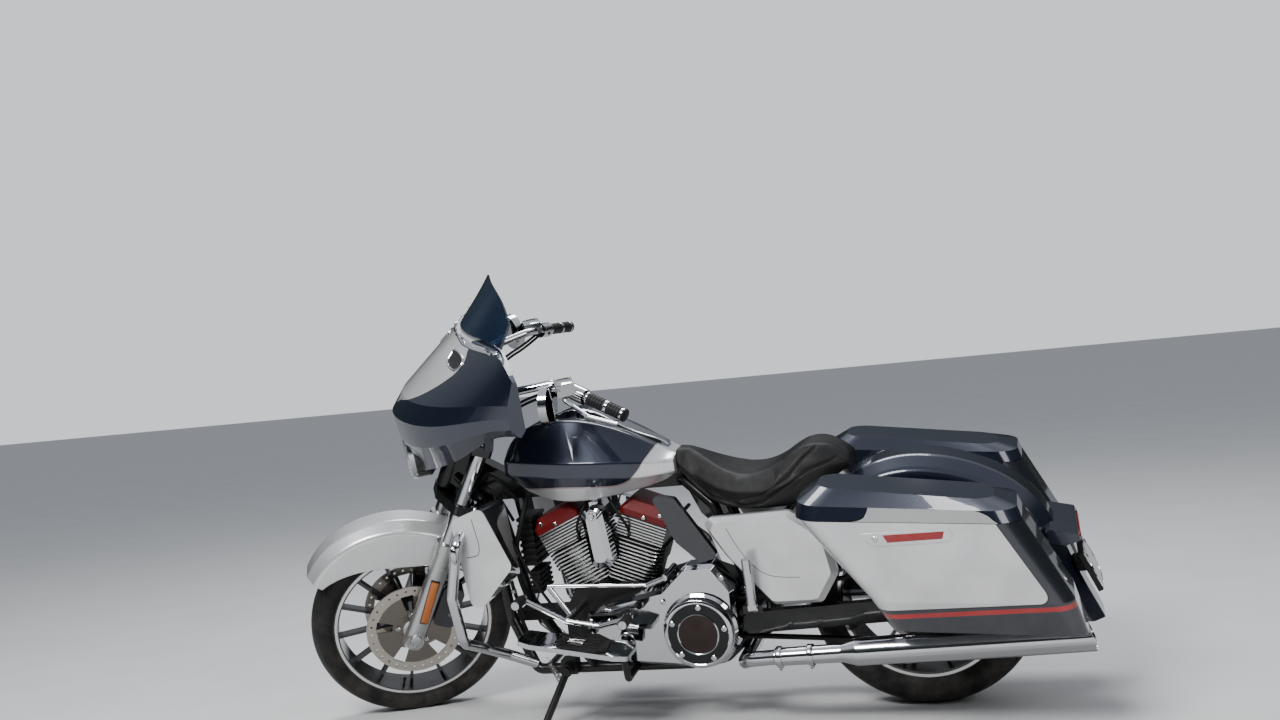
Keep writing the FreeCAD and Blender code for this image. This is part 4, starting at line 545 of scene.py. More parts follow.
def disc_metal(name, place):
    """Brake disc steel: turned rings, a heat-tinted swept band and brake dust."""
    finish = Finish(name, place)
    far = from_axle(finish, FRONT_HUB)
    rings = finish.add("ShaderNodeTexNoise", {"W": finish.maths("MULTIPLY", far, 2600.0),
                                              "Scale": 1.0}, noise_dimensions="1D").outputs[0]
    band = finish.group("stripe", Value=far, Centre=0.134, Half_width=0.017,
                        Softness=0.003)["Mask"]
    colour = finish.mix(band, (0.16, 0.145, 0.13, 1), (0.50, 0.46, 0.41, 1))
    colour = finish.mix(finish.span(rings, 0.4, 0.7, 0.0, 0.35), colour, (0.2, 0.17, 0.14, 1))
    return finish.set(Base_Color=colour, Metallic=1.0,
                      Roughness=finish.span(rings, 0.3, 0.7, 0.24, 0.42),
                      Normal=finish.bump(rings, 0.15, 0.0002))


def finned_metal(name):
    """Wrinkle-black cylinders whose fin edges are machined bright."""
    finish = Finish(name)
    grain = finish.group("grain", Colour=(0.022, 0.022, 0.023, 1), Roughness=0.5, Scale=900.0,
                         Depth=0.0002)
    edge = finish.span(finish.maths("ABSOLUTE", finish.facing()[1]), 0.35, 0.55)
    along, _, up = finish.parts(finish.vector)
    off = finish.maths("ABSOLUTE", finish.maths("SUBTRACT", along, ENGINE_MIDDLE))
    lean = finish.maths("MULTIPLY", off, CYLINDER_LEAN[0])
    height = finish.maths("ADD", finish.maths("MULTIPLY", up, CYLINDER_LEAN[1]), lean)
    row = finish.maths("FRACT", finish.maths("MULTIPLY", height, FINS_PER_METRE))
    fin = finish.span(finish.maths("ABSOLUTE", finish.maths("SUBTRACT", row, 0.5)), 0.20, 0.26,
                      1.0, 0.0)
    head = finish.span(height, HEAD_FROM, HEAD_FROM + 0.001)
    edge = finish.maths("MULTIPLY", edge, finish.blend(head, 1.0, fin))
    colour = finish.mix(edge, grain["Colour"], (0.55, 0.55, 0.54, 1))
    rough = finish.blend(edge, grain["Roughness"], 0.25)
    relief = finish.maths("MULTIPLY", fin, head)
    return finish.set(Base_Color=colour, Roughness=rough, Metallic=edge,
                      Normal=finish.bump(relief, 0.9, 0.003, grain["Normal"]))


# The cylinders lean from the engine's middle; where along their axis the heads begin.
ENGINE_MIDDLE = 0.912
CYLINDER_LEAN = (0.383, 0.924)
FINS_PER_METRE = 110.0
HEAD_FROM = 0.530


def heat_tint(finish, base):
    """Golden and blue heat colours near the cylinder heads."""
    up = finish.parts(finish.vector)[2]
    hot = finish.span(finish.noise(finish.vector, 12.0, 3.0), 0.3, 0.7, -0.03, 0.03)
    heat = finish.span(finish.maths("ADD", up, hot), 0.42, 0.6)
    golden = finish.mix(heat, base, (0.62, 0.45, 0.24, 1))
    return finish.mix(finish.span(finish.maths("ADD", up, hot), 0.53, 0.62), golden,
                      (0.22, 0.22, 0.42, 1))


def leather(name):
    """Black leather with a little road dust, and painted shade in its creases."""
    finish = Finish(name)
    hide = finish.group("leather", Colour=(0.006, 0.006, 0.0064, 1), Grain=560.0, Roughness=0.36)
    soiled = finish.group("dust", Colour=hide["Colour"], Roughness=hide["Roughness"],
                          Amount=0.035, Top=1.2)
    return finish.set(Base_Color=soiled["Colour"], Roughness=soiled["Roughness"],
                      Normal=hide["Normal"], Coat_Weight=0.0, Specular_IOR_Level=DULL_SPECULAR)


def vent_mesh(name):
    """Woven wire: small lozenges between bright crossing wires, the lozenges painted near black as
    painted shade for the space behind.
    """
    finish = Finish(name, FORK)
    _, across, up = finish.parts(finish.vector)
    lines = []
    for way in ("ADD", "SUBTRACT"):
        slant = finish.maths("MULTIPLY", finish.maths(way, across, up), 260.0)
        lines.append(finish.maths("ABSOLUTE", finish.maths("SUBTRACT", finish.maths(
            "FRACT", slant), 0.5)))
    wire = finish.span(finish.maths("MAXIMUM", *lines), 0.36, 0.42)
    # Painted shade: the openings between the wires are near black, for the dark space behind the
    # grille.
    colour = finish.mix(wire, (0.002, 0.002, 0.003, 1), (0.10, 0.10, 0.11, 1))
    return finish.set(Base_Color=colour, Roughness=finish.blend(wire, 0.7, 0.35),
                      Metallic=wire, Normal=finish.bump(wire, 0.6, 0.0006))


FINISHES = {}


def make_finishes(sizes):
    """All the materials by name, from the colours in the panel."""
    navy, silver, red = sizes.navy, sizes.silver, sizes.red
    chrome = (0.80, 0.81, 0.83)
    FINISHES.update({
        "navy": plain_paint("Navy metallic", navy),
        "silver": plain_paint("Silver metallic", silver),
        "silver_front": plain_paint("Silver metallic, front", silver, FORK, dust=0.14),
        "tank": tank_paint("Tank two-tone", sizes),
        "lid": two_tone("Lid two-tone", sizes, CHASSIS, LID_LINE, low=0.58, high=0.72),
        "fairing": two_tone("Fairing with silver strip", sizes, FORK, STRIP_LINE, True,
                            0.0, 0.2),
        "shield": shield_paint("Leg shield", sizes),
        "bag": bag_paint("Bag two-tone", sizes),
        "chrome": metal("Chrome", chrome, 0.035, 0.06),
        "chrome_front": metal("Chrome, front", chrome, 0.035, 0.06, place=FORK),
        "exhaust": metal("Exhaust chrome", chrome, 0.05, 0.1, (0.2, 1, 1), 0.2, tint=heat_tint),
        "satin": metal("Satin silver", (0.72, 0.72, 0.71), 0.27, 0.3, (1, 1, 0.08), place=FORK),
        "steel": metal("Bare steel", (0.45, 0.44, 0.43), 0.3, 0.5),
        "disc": disc_metal("Brake disc", FORK),
        "rear_disc": metal("Rear rotor", (0.4, 0.38, 0.36), 0.3, 0.5),
        "front_wheel": wheel_metal("Front wheel", FRONT_HUB, 0.243, FORK),
        "rear_wheel": wheel_metal("Rear wheel", REAR_AXLE, 0.233, CHASSIS),
        "gloss_black": moulded("Gloss black metal", (0.006, 0.006, 0.0065), 0.25, 1500, 0.00005,
                               0.9),
        "frame_black": moulded("Powder black", (0.007, 0.007, 0.0075), 0.35, 1100, 0.0001, 0.5),
        "engine_black": moulded("Wrinkle black", (0.009, 0.009, 0.009), 0.52, 800, 0.0004),
        "cast_dark": moulded("Dark casting", (0.07, 0.07, 0.075), 0.45, 1000, 0.0002,
                             metallic=0.7, place=FORK),
        "finned": finned_metal("Finned cylinder"),
        "red": moulded("Red enamel", [share * 0.3 for share in red], 0.42, 1500, 0.00005, 0.3,
                       0.1, 0.02),
        "deflector": plain_paint("Deflector grey", (0.010, 0.012, 0.016), dust=0.04),
        "tyre": moulded("Tyre rubber", (0.008, 0.008, 0.0085), 0.62, 500, 0.0002, dust=0.3),
        "tyre_front": moulded("Front tyre rubber", (0.008, 0.008, 0.0085), 0.58, 500, 0.0002,
                              dust=0.16, place=FORK),
        "tyre_rear": moulded("Rear tyre rubber", (0.008, 0.008, 0.0085), 0.58, 500, 0.0002,
                             dust=0.16),
        "rubber": moulded("Black rubber", (0.007, 0.007, 0.007), 0.55, 1300, 0.0002),
        "rubber_front": moulded("Grip rubber", (0.014, 0.014, 0.014), 0.5, 1300, 0.0002,
                                place=FORK, dust=0.1),
        "plastic_front": moulded("Black plastic, front", (0.02, 0.02, 0.021), 0.4, 1400, 0.0002,
                                 place=FORK, dust=0.1),
        "steel_front": metal("Bare steel, front", (0.45, 0.44, 0.43), 0.3, 0.5, place=FORK),
        "leather": leather("Black leather"),
        "thread": moulded("Thread", (0.05, 0.05, 0.052), 0.6, 2500, 0.0001, dust=0.1),
        "projector": clear("Projector lens", (0.82, 0.88, 0.95), 0.02, 0.35),
        "mesh_dark": vent_mesh("Vent mesh"),
        "gloss_front": moulded("Gloss black, front", (0.008, 0.008, 0.010), 0.12, 1500, 0.00002,
                               0.9, place=FORK, dust=0.02),
        "mark_white": moulded("Dial marks", (0.75, 0.75, 0.72), 0.5, 2500, 0.00005, dust=0.0),
        "mirror": metal("Mirror glass", (0.9, 0.91, 0.92), 0.01, 0.02, place=FORK, dust=0.02),
        "soot": moulded("Sooty steel", (0.010, 0.009, 0.008), 0.85, 600, 0.0004, dust=0.0),
        "derby_brown": moulded("Derby medallion", (0.018, 0.008, 0.006), 0.35, 1800, 0.0001, 0.2,
                               dust=0.01),
        "plastic": moulded("Black plastic", (0.01, 0.01, 0.0105), 0.45, 1400, 0.0002),
        "inner": moulded("Inner panel", (0.022, 0.026, 0.034), 0.38, 1600, 0.0001, 0.3,
                         place=FORK),
        "derby": moulded("Derby band", (0.003, 0.003, 0.0035), 0.2, 1800, 0.00005, 0.3, dust=0.01),
        "screen": clear("Smoked screen", (0.02, 0.045, 0.10), 0.03, 0.75),
        "glass": clear("Clear lens", (0.95, 0.97, 1.0), 0.02),
        "red_lens": clear("Red lens", (0.42, 0.006, 0.008), 0.05, 0.55),
        "amber": clear("Amber lens", (0.85, 0.22, 0.01), 0.06, 0.5),
        "plate": moulded("Plate enamel", (0.8, 0.8, 0.79), 0.35, 900, 0.0001, 0.4, dust=0.2),
    })


NODE_FINISHES = {
    "rear_tyre": "tyre", "front_tyre": "tyre", "rear_wheel": "rear_wheel",
    "front_wheel": "front_wheel", "front_discs": "disc", "rear_drive": "rear_disc",
    "drive_belt": "rubber", "fork_sliders": "satin", "front_axle": "chrome_front",
    "fork_tubes": "chrome_front", "triple_clamps": "gloss_black",
    "front_fender": "silver_front", "front_calipers": "cast_dark",
    "fairing_shell": "fairing", "headlamp": "glass", "inner_fairing": "inner",
    "windscreen": "screen", "handlebar": "chrome_front", "grips": "rubber",
    "hand_controls": "chrome_front", "mirrors": "chrome_front", "frame": "frame_black",
    "swingarm": "frame_black", "rear_shocks": "gloss_black", "cylinders": "finned",
    "engine_cases": "engine_black", "rocker_covers": "red", "cam_cover": "chrome",
    "air_cleaner": "chrome", "primary_cover": "chrome", "derby_cover": "derby",
    "horn_cover": "chrome", "mufflers": "exhaust", "exhaust_pipes": "exhaust",
    "fuel_tank": "tank", "tank_console": "chrome", "fuel_door": "chrome",
    "rear_fender": "navy", "seat": "plastic", "side_covers": "silver",
    "air_deflectors": "deflector", "saddlebag_left": "bag", "saddlebag_right": "bag",
    "bag_lid_left": "lid", "bag_lid_right": "lid", "tail_lamps": "red_lens",
    "lamp_bar": "navy", "plate_holder": "plastic", "number_plate_blank": "plate",
    "engine_guard": "chrome", "leg_shields": "shield", "foot_controls": "chrome",
    "floorboard_left": "chrome", "floorboard_right": "chrome", "side_stand": "frame_black",
    "passenger_peg_left": "chrome", "passenger_peg_right": "chrome",
    "foot_brackets": "frame_black",
}


def dress_nodes():
    """Gives every CAD node its finish."""
    for name, finish in NODE_FINISHES.items():
        slots = NODES[name].data.materials
        slots.clear()
        slots.append(FINISHES[finish])


# Modelling by hand, in code

MERGE = 0.00002


def only(obj):
    """Leaves object mode with one object selected and active."""
    if bpy.context.mode != "OBJECT":
        bpy.ops.object.mode_set(mode="OBJECT")
    bpy.ops.object.select_all(action="DESELECT")
    obj.select_set(True)
    bpy.context.view_layer.objects.active = obj


def clear_selection():
    if bpy.context.mode != "OBJECT":
        bpy.ops.object.mode_set(mode="OBJECT")
    bpy.ops.object.select_all(action="DESELECT")


def edit(obj):
    """Edit mode with nothing selected."""
    only(obj)
    bpy.ops.object.mode_set(mode="EDIT")
    bpy.ops.mesh.select_all(action="DESELECT")


def pick(obj, test, kind="faces"):
    """In edit mode, selects the faces, edges or vertices that pass a test of place and normal."""
    modes = {"faces": "FACE", "edges": "EDGE", "verts": "VERT"}
    bpy.ops.mesh.select_mode(type=modes[kind])
    bpy.ops.mesh.select_all(action="DESELECT")
    mesh = bmesh.from_edit_mesh(obj.data)
    for part in getattr(mesh, kind):
        if kind == "faces":
            chosen = test(part.calc_center_median(), part.normal)
        elif kind == "edges":
            chosen = test((part.verts[0].co + part.verts[1].co) / 2, part)
        else:
            chosen = test(part.co, part.normal)
        part.select = bool(chosen)
    mesh.select_flush_mode()
    bmesh.update_edit_mesh(obj.data)


def done(obj):
    """Back to object mode."""
    bpy.ops.object.mode_set(mode="OBJECT")
    return obj


def modify(obj, kind, **settings):
    """Adds a modifier and applies it."""
    only(obj)
    modifier = obj.modifiers.new(kind.lower(), kind)
    for key, value in settings.items():
        setattr(modifier, key, value)
    bpy.ops.object.modifier_apply(modifier=modifier.name)
    return obj


def place(obj, matrix):
    """Puts the object's place into its mesh, so that it sits at the origin."""
    obj.data.transform(matrix @ obj.matrix_world)
    obj.matrix_world = Matrix.Identity(4)
    if matrix.determinant() < 0:
        only(obj)
        bpy.ops.object.mode_set(mode="EDIT")
        bpy.ops.mesh.select_all(action="SELECT")
        bpy.ops.mesh.flip_normals()
        bpy.ops.object.mode_set(mode="OBJECT")
    return obj


STEERED = ("front_end", "front_wheel")
SHARP_FROM = math.radians(35.0)


def finish_piece(obj, name, body, finish):
    """Names a piece, gives it its finish, smooths it, puts it in place and lets it ride.

    Pieces that turn with the steering are drawn in the fork's axes, the others in the machine's.
    """
    obj.name = name
    obj.data.name = name
    obj.data.materials.clear()
    obj.data.materials.append(FINISHES[finish])
    place(obj, FORK if body in STEERED else CHASSIS)
    only(obj)
    bpy.ops.object.shade_smooth_by_angle(angle=SHARP_FROM)
    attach(obj, body)
    return obj


def joined(objects):
    """Several objects as one."""
    only(objects[0])
    for obj in objects[1:]:
        obj.select_set(True)
    if len(objects) > 1:
        bpy.ops.object.join()
    return objects[0]


def line_of(points):
    """A chain of edges through the points, from a trimmed grid."""
    clear_selection()
    bpy.ops.mesh.primitive_grid_add(x_subdivisions=len(points) - 1, y_subdivisions=1, size=1)
    obj = bpy.context.object
    edit(obj)
    pick(obj, lambda place, normal: place.y > 0, "verts")
    bpy.ops.mesh.delete(type="VERT")
    done(obj)
    for vertex, point in zip(sorted(obj.data.vertices, key=lambda vertex: vertex.co.x), points):
        vertex.co = point
    return obj


def towards(at, axis):
    """The matrix that puts a piece made about Z at a point, its Z along an axis."""
    return Matrix.Translation(at) @ Vector(axis).to_track_quat("Z", "Y").to_matrix().to_4x4()


def spun(points, steps):
    """A line of points swept round Z and closed. It is left in edit mode."""
    obj = line_of(points)
    edit(obj)
    bpy.ops.mesh.select_all(action="SELECT")
    bpy.ops.mesh.spin(steps=steps, angle=math.tau, center=(0, 0, 0), axis=(0, 0, 1))
    bpy.ops.mesh.select_all(action="SELECT")
    bpy.ops.mesh.remove_doubles(threshold=MERGE)
    bpy.ops.mesh.normals_make_consistent(inside=False)
    return obj


def turned(profile, at=(0, 0, 0), axis=(0, 0, 1), steps=48):
    """A lathe-turned piece from (radius, along) pairs."""
    obj = done(spun([(radius, 0, along) for radius, along in profile], steps))
    obj.data.transform(towards(at, axis))
    return obj


def bolt(radius=0.006, height=0.005, sides=12):
    """One socket-head bolt, standing on Z."""
    clear_selection()
    bpy.ops.mesh.primitive_cylinder_add(vertices=sides, radius=radius, depth=height,
                                        location=(0, 0, height / 2))
    obj = bpy.context.object
    place(obj, Matrix.Identity(4))
    edit(obj)
    pick(obj, lambda at, normal: normal.z > 0.9)
    bpy.ops.mesh.inset(thickness=radius * 0.16, depth=radius * 0.12)
    bpy.ops.mesh.inset(thickness=radius * 0.3, depth=0)
    bpy.ops.mesh.inset(thickness=radius * 0.04, depth=-height * 0.5)
    done(obj)
    return obj


def moved_copy(obj, matrix):
    """A copy of a piece with a mesh of its own, moved by a matrix."""
    copy = obj.copy()
    copy.data = obj.data.copy()
    bpy.context.scene.collection.objects.link(copy)
    copy.data.transform(matrix)
    return copy


def repeated(master, matrices):
    """Copies of one piece, one for each matrix, joined as one object."""
    copies = [moved_copy(master, matrix) for matrix in matrices]
    bpy.data.objects.remove(master)
    return joined(copies)


def scatter(master, places):
    """Copies of one piece at each (point, axis), joined as one object."""
    return repeated(master, [towards(at, axis) for at, axis in places])


def hose(points, radius, resolution=5, steps=6, closed=False):
    """A round hose or rod along one smooth line through the space between the points."""
    clear_selection()
    bpy.ops.curve.primitive_nurbs_path_add()
    obj = bpy.context.object
    curve = obj.data
    curve.splines.clear()
    spline = curve.splines.new("NURBS")
    spline.points.add(len(points) - 1)
    for control, point in zip(spline.points, points):
        control.co = (*point, 1)
    spline.order_u = 3
    spline.use_endpoint_u = not closed
    spline.use_cyclic_u = closed
    spline.resolution_u = steps
    curve.bevel_depth = radius
    curve.bevel_resolution = resolution
    curve.use_fill_caps = True
    only(obj)
    bpy.ops.object.convert(target="MESH")
    return bpy.context.object


def copied(node, name):
    """A merged copy of a CAD node's mesh, to be shaped further."""
    source = NODES[node]
    copy = bpy.data.objects.new(name, source.data.copy())
    bpy.context.scene.collection.objects.link(copy)
    edit(copy)
    bpy.ops.mesh.select_all(action="SELECT")
    bpy.ops.mesh.remove_doubles(threshold=MERGE)
    return done(copy)


def surface(node, at, way, place=CHASSIS):
    """Where a line in the upright machine's axes first meets a CAD node, and the normal there."""
    back = place.inverted()
    direction = (place.to_3x3() @ Vector(way)).normalized()
    hit, point, normal, _ = NODES[node].ray_cast(place @ Vector(at), direction)
    if not hit:
        raise RuntimeError(f"nothing of {node} lies along {tuple(way)} from {tuple(at)}")
    return back @ point, (back.to_3x3() @ normal).normalized()


def both_sides(obj):
    """The piece together with its mirror image on the machine's other side."""
    other = moved_copy(obj, Matrix.Diagonal((1, -1, 1, 1)))
    other.data.flip_normals()
    return joined([obj, other])


def on_side(points, side):
    """Points of the left side as they are (side 1), or mirrored to the right (side -1)."""
    return [(x, y * side, z) for x, y, z in points]


def patch(node, outline, axis, thick=0.003, place=CHASSIS, cuts=3, rim=0.0):
    """A thin piece with a drawn outline that lies on a CAD node, seen along one axis."""
    clear_selection()
    bpy.ops.mesh.primitive_circle_add(vertices=len(outline), radius=1, fill_type="NGON")
    obj = bpy.context.object
    for vertex, point in zip(obj.data.vertices, outline):
        vertex.co = point
    obj.matrix_world = place
    edit(obj)
    bpy.ops.mesh.select_all(action="SELECT")
    bpy.ops.mesh.quads_convert_to_tris()
    if cuts:
        bpy.ops.mesh.subdivide(number_cuts=cuts)
    done(obj)
    seen = "XYZ".index(axis[-1])
    wanted = -1 if axis[0] == "-" else 1
    modify(obj, "SHRINKWRAP", target=NODES[node], wrap_method="PROJECT",
           use_project_x=seen == 0, use_project_y=seen == 1, use_project_z=seen == 2,
           use_negative_direction=True, use_positive_direction=True)
    if sum(face.normal[seen] * face.area for face in obj.data.polygons) * wanted < 0:
        obj.data.flip_normals()
    modify(obj, "SOLIDIFY", thickness=thick, offset=1.0)
    if rim:
        modify(obj, "BEVEL", width=rim, segments=2, limit_method="ANGLE", angle_limit=1.0)
    obj.matrix_world = Matrix.Identity(4)
    return obj


SEAM_DEPTH = 0.0002


def line_on(node, points, way, radius, place=CHASSIS, closed=False, rise=0.0):
    """A round bead that follows points on a CAD node, each found along one direction."""
    back = Vector(way).normalized()
    found = [surface(node, Vector(point) - back * 0.08, way, place)[0] - back * rise
             for point in points]
    return hose(found, radius, 3, 4, closed)


def seams_on(node, points, radius):
    """A thin drawn line on each side of the machine, sunk a little into a CAD node."""
    return joined([line_on(node, on_side(points, side), (0, -side, 0), radius,
                           rise=-SEAM_DEPTH) for side in (1, -1)])


def bolts_on(node, points, way, radius=0.006, height=0.005, place=CHASSIS, stand=0.08):
    """Socket-head bolts on a CAD node, each found along one direction."""
    back = Vector(way).normalized()
    places = [surface(node, Vector(point) - back * stand, way, place) for point in points]
    return scatter(bolt(radius, height), [(at, -back) for at, _ in places])


def circle(middle, radius, count, axis="Y", start=0.0):
    """Points round a circle that is seen along one axis."""
    spots = []
    for step in range(count):
        angle = math.radians(start) + math.tau * step / count
        a, b = radius * math.cos(angle), radius * math.sin(angle)
        offset = {"X": (0, a, b), "Y": (a, 0, b), "Z": (a, b, 0)}[axis]
        spots.append(Vector(middle) + Vector(offset))
    return spots


# The operators, one for each group of pieces

# Tyres. Share of the half width from the middle, drop as a share of the section's height.
TYRE_WALL = [(1.0, 0.52), (0.985, 0.66), (0.94, 0.80), (0.87, 0.90), (0.83, 0.93), (0.80, 1.0),
             (0.70, 1.0), (0.74, 0.88), (0.84, 0.6), (0.80, 0.42), (0.6, 0.24), (0.3, 0.15)]
TREAD_ROWS = 12
TREAD_COLUMNS = 396
GROOVE_SPACING = 18  # columns
GROOVE_DEPTH = 0.0042


def tyre_section():
    """The closed section, from the inside of the crown round one bead, the tread and the other."""
    tread = [(0.95 * row / TREAD_ROWS, 0.40 * (0.95 * row / TREAD_ROWS) ** 2.6)
             for row in range(1, TREAD_ROWS + 1)]
    half = tread + TYRE_WALL
    left = [(-share, drop) for share, drop in half]
    return [(0.0, 0.13)] + half[::-1] + [(0.0, 0.0)] + left + [(0.0, 0.13)]


def make_tyre(hub, radius, half, bead, sweep):
    """A turned tyre with long slanted grooves cut into its crown."""
    height = radius - bead
    points = []
    for share, drop in tyre_section():
        reach = radius - drop * height
        turn = sweep * abs(share) ** 1.25
        points.append((reach * math.cos(turn), reach * math.sin(turn), share * half))
    obj = spun(points, TREAD_COLUMNS)

    def column(at):
        share = abs(at.z) / half
        turn = math.atan2(at.y, at.x) - sweep * share ** 1.25
        return math.floor(turn / math.tau * TREAD_COLUMNS) % GROOVE_SPACING, share

    def long_groove(at, _):
        step, share = column(at)
        middle = 0 if at.z > 0 else GROOVE_SPACING // 2
        return math.hypot(at.x, at.y) > radius - 0.3 * height and step == middle \
            and 0.07 < share < 0.78

    def short_groove(at, _):
        step, share = column(at)
        middle = GROOVE_SPACING // 2 if at.z > 0 else 0
        return math.hypot(at.x, at.y) > radius - 0.4 * height and step == middle \
            and 0.42 < share < 0.9

    for groove in (long_groove, short_groove):
        pick(obj, groove)
        bpy.ops.mesh.inset(thickness=0.0006, depth=-GROOVE_DEPTH)
    pick(obj, lambda at, normal: 0.93 < abs(at.z) / half and abs(normal.z) > 0.85
         and math.hypot(at.x, at.y) < bead + 0.5 * height)
    bpy.ops.mesh.inset(thickness=0.004, depth=0.0008)
    done(obj)
    obj.data.transform(towards(hub, (0, 1, 0)))
    return obj


class CRUISER_OT_tyres(bpy.types.Operator):
    """Grooved tyres with plain sidewalls"""
    bl_idname = "cruiser.tyres"
    bl_label = "Tyres"
    bl_options = {"REGISTER", "UNDO"}

    def execute(self, context):
        sizes = context.scene.cruiser_sizes
        front = make_tyre(FRONT_HUB, FRONT_HUB_HEIGHT, 0.0625, 0.251, sizes.groove_sweep)
        finish_piece(front, "front_tyre_grooved", "front_wheel", "tyre_front")
        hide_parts("front_tyre")
        rear = make_tyre(REAR_AXLE, REAR_HUB_HEIGHT, 0.087, 0.2395, sizes.groove_sweep)
        finish_piece(rear, "rear_tyre_grooved", "rear_wheel", "tyre_rear")
        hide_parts("rear_tyre")
        return {"FINISHED"}


# Seat. Along and up the machine, where the seams cross the left side.
SEAT_SEAMS = [
    [(0.661, 0.760), (0.557, 0.674), (0.500, 0.661), (0.447, 0.667), (0.397, 0.675),
     (0.325, 0.719), (0.279, 0.765), (0.244, 0.785)],
    [(0.500, 0.661), (0.46, 0.645), (0.40, 0.652), (0.33, 0.690), (0.27, 0.728), (0.19, 0.752)],
]


def away_from(point, line):
    """How far a point lies from a drawn line, both as (along, up) pairs."""
    nearest = 1.0
    for (x1, z1), (x2, z2) in zip(line, line[1:]):
        run = (x2 - x1) ** 2 + (z2 - z1) ** 2
        share = ((point[0] - x1) * (x2 - x1) + (point[1] - z1) * (z2 - z1)) / run
        share = min(1.0, max(0.0, share))
        nearest = min(nearest, math.hypot(point[0] - x1 - share * (x2 - x1),
                                          point[1] - z1 - share * (z2 - z1)))
    return nearest


class CRUISER_OT_seat(bpy.types.Operator):
    """Stepped leather seat: padding swollen by cloth, then sewn channels, piping and stitches"""
    bl_idname = "cruiser.seat"
    bl_label = "Seat"
    bl_options = {"REGISTER", "UNDO"}

    def execute(self, context):
        sizes = context.scene.cruiser_sizes
        seat = copied("seat", "rider_seat")
        seat.data.transform(CHASSIS.inverted())
        modify(seat, "REMESH", mode="VOXEL", voxel_size=sizes.seat_voxel)
        edit(seat)
        bpy.ops.mesh.select_all(action="SELECT")
        bpy.ops.transform.shrink_fatten(value=-0.003)
        done(seat)
        self.swell(context, seat, sizes.seat_swell)
        modify(seat, "SMOOTH", factor=0.5, iterations=3)
        modify(seat, "SUBSURF", levels=1, render_levels=1)
        self.sew(seat)
        piping = self.piping(seat)
        finish_piece(seat, "rider_seat", "chassis", "leather")
        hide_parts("seat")
        for name, piece in piping.items():
            finish_piece(piece, name, "chassis", "leather" if "piping" in name else "thread")
        return {"FINISHED"}

    def swell(self, context, seat, cap):
        """Lets air pressure round the padding, its underside held, each point moving a little."""
        held = seat.vertex_groups.new(name="held")
        low = [vertex.index for vertex in seat.data.vertices if vertex.normal.z < -0.35]
        held.add(low, 1.0, "ADD")
        before = [vertex.co.copy() for vertex in seat.data.vertices]
        only(seat)
        cloth = seat.modifiers.new("cloth", "CLOTH")
        cloth.settings.use_pressure = True
        cloth.settings.uniform_pressure_force = 4.0
        cloth.settings.vertex_group_mass = "held"
        cloth.settings.quality = 5
        cloth.settings.effector_weights.gravity = 0.0
        cloth.point_cache.frame_start = 1
        cloth.point_cache.frame_end = 20
        for number in range(1, 21):
            context.scene.frame_set(number)
        bpy.ops.object.modifier_apply(modifier=cloth.name)
        context.scene.frame_set(1)
        for vertex, start in zip(seat.data.vertices, before):
            moved = vertex.co - start
            if moved.length > cap:
                vertex.co = start + moved * (cap / moved.length)

    def sew(self, seat):
        """Pulls the leather in along each seam."""
        normals = [vertex.normal.copy() for vertex in seat.data.vertices]
        for vertex, normal in zip(seat.data.vertices, normals):
            if normal.z < -0.4 or abs(vertex.co.y) < 0.06:
                continue
            deep = 0.0
            for seam in SEAT_SEAMS:
                off = away_from((vertex.co.x, vertex.co.z), seam)
                deep = max(deep, 0.0032 * math.exp(-(off / 0.0042) ** 2))
            vertex.co -= normal * deep

    def piping(self, seat):
        """A leather cord in each seam, and a row of stitches beside it."""
        cords, stitches = [], []
        for side in (1, -1):
            for seam in SEAT_SEAMS:
                line = []
                for (x1, z1), (x2, z2) in zip(seam, seam[1:]):
                    steps = max(2, int(math.hypot(x2 - x1, z2 - z1) / 0.016))
                    line += [(x1 + (x2 - x1) * n / steps, z1 + (z2 - z1) * n / steps)
                             for n in range(steps)]
                found = []
                for x, z in line:
                    hit, point, normal, _ = seat.ray_cast((x, 0.3 * side, z), (0, -side, 0))
                    if hit and abs(point.y) > 0.05:
                        found.append((point, normal))
                if len(found) < 4:
                    continue
                cords.append(hose([point - normal * 0.0004 for point, normal in found],
                                  0.0022, 3, 3))
                for (a, normal), (b, _) in zip(found, found[1:]):
                    along = (b - a).normalized()
                    down = along.cross(normal).normalized() * 0.0058
                    if down.z > 0:
                        down = -down
                    for share in (0.15, 0.65):
                        stitches.append((a + (b - a) * share + down + normal * 0.0001, along))
        clear_selection()
        bpy.ops.mesh.primitive_cylinder_add(vertices=6, radius=0.0006, depth=0.005)
        stitch = bpy.context.object
        place(stitch, Matrix.Identity(4))
        modify(stitch, "BEVEL", width=0.0004, segments=1)
        return {"seat_piping": joined(cords), "seat_stitches": scatter(stitch, stitches)}


LAMP_AT = Vector((1.512, 0.0, 0.880))


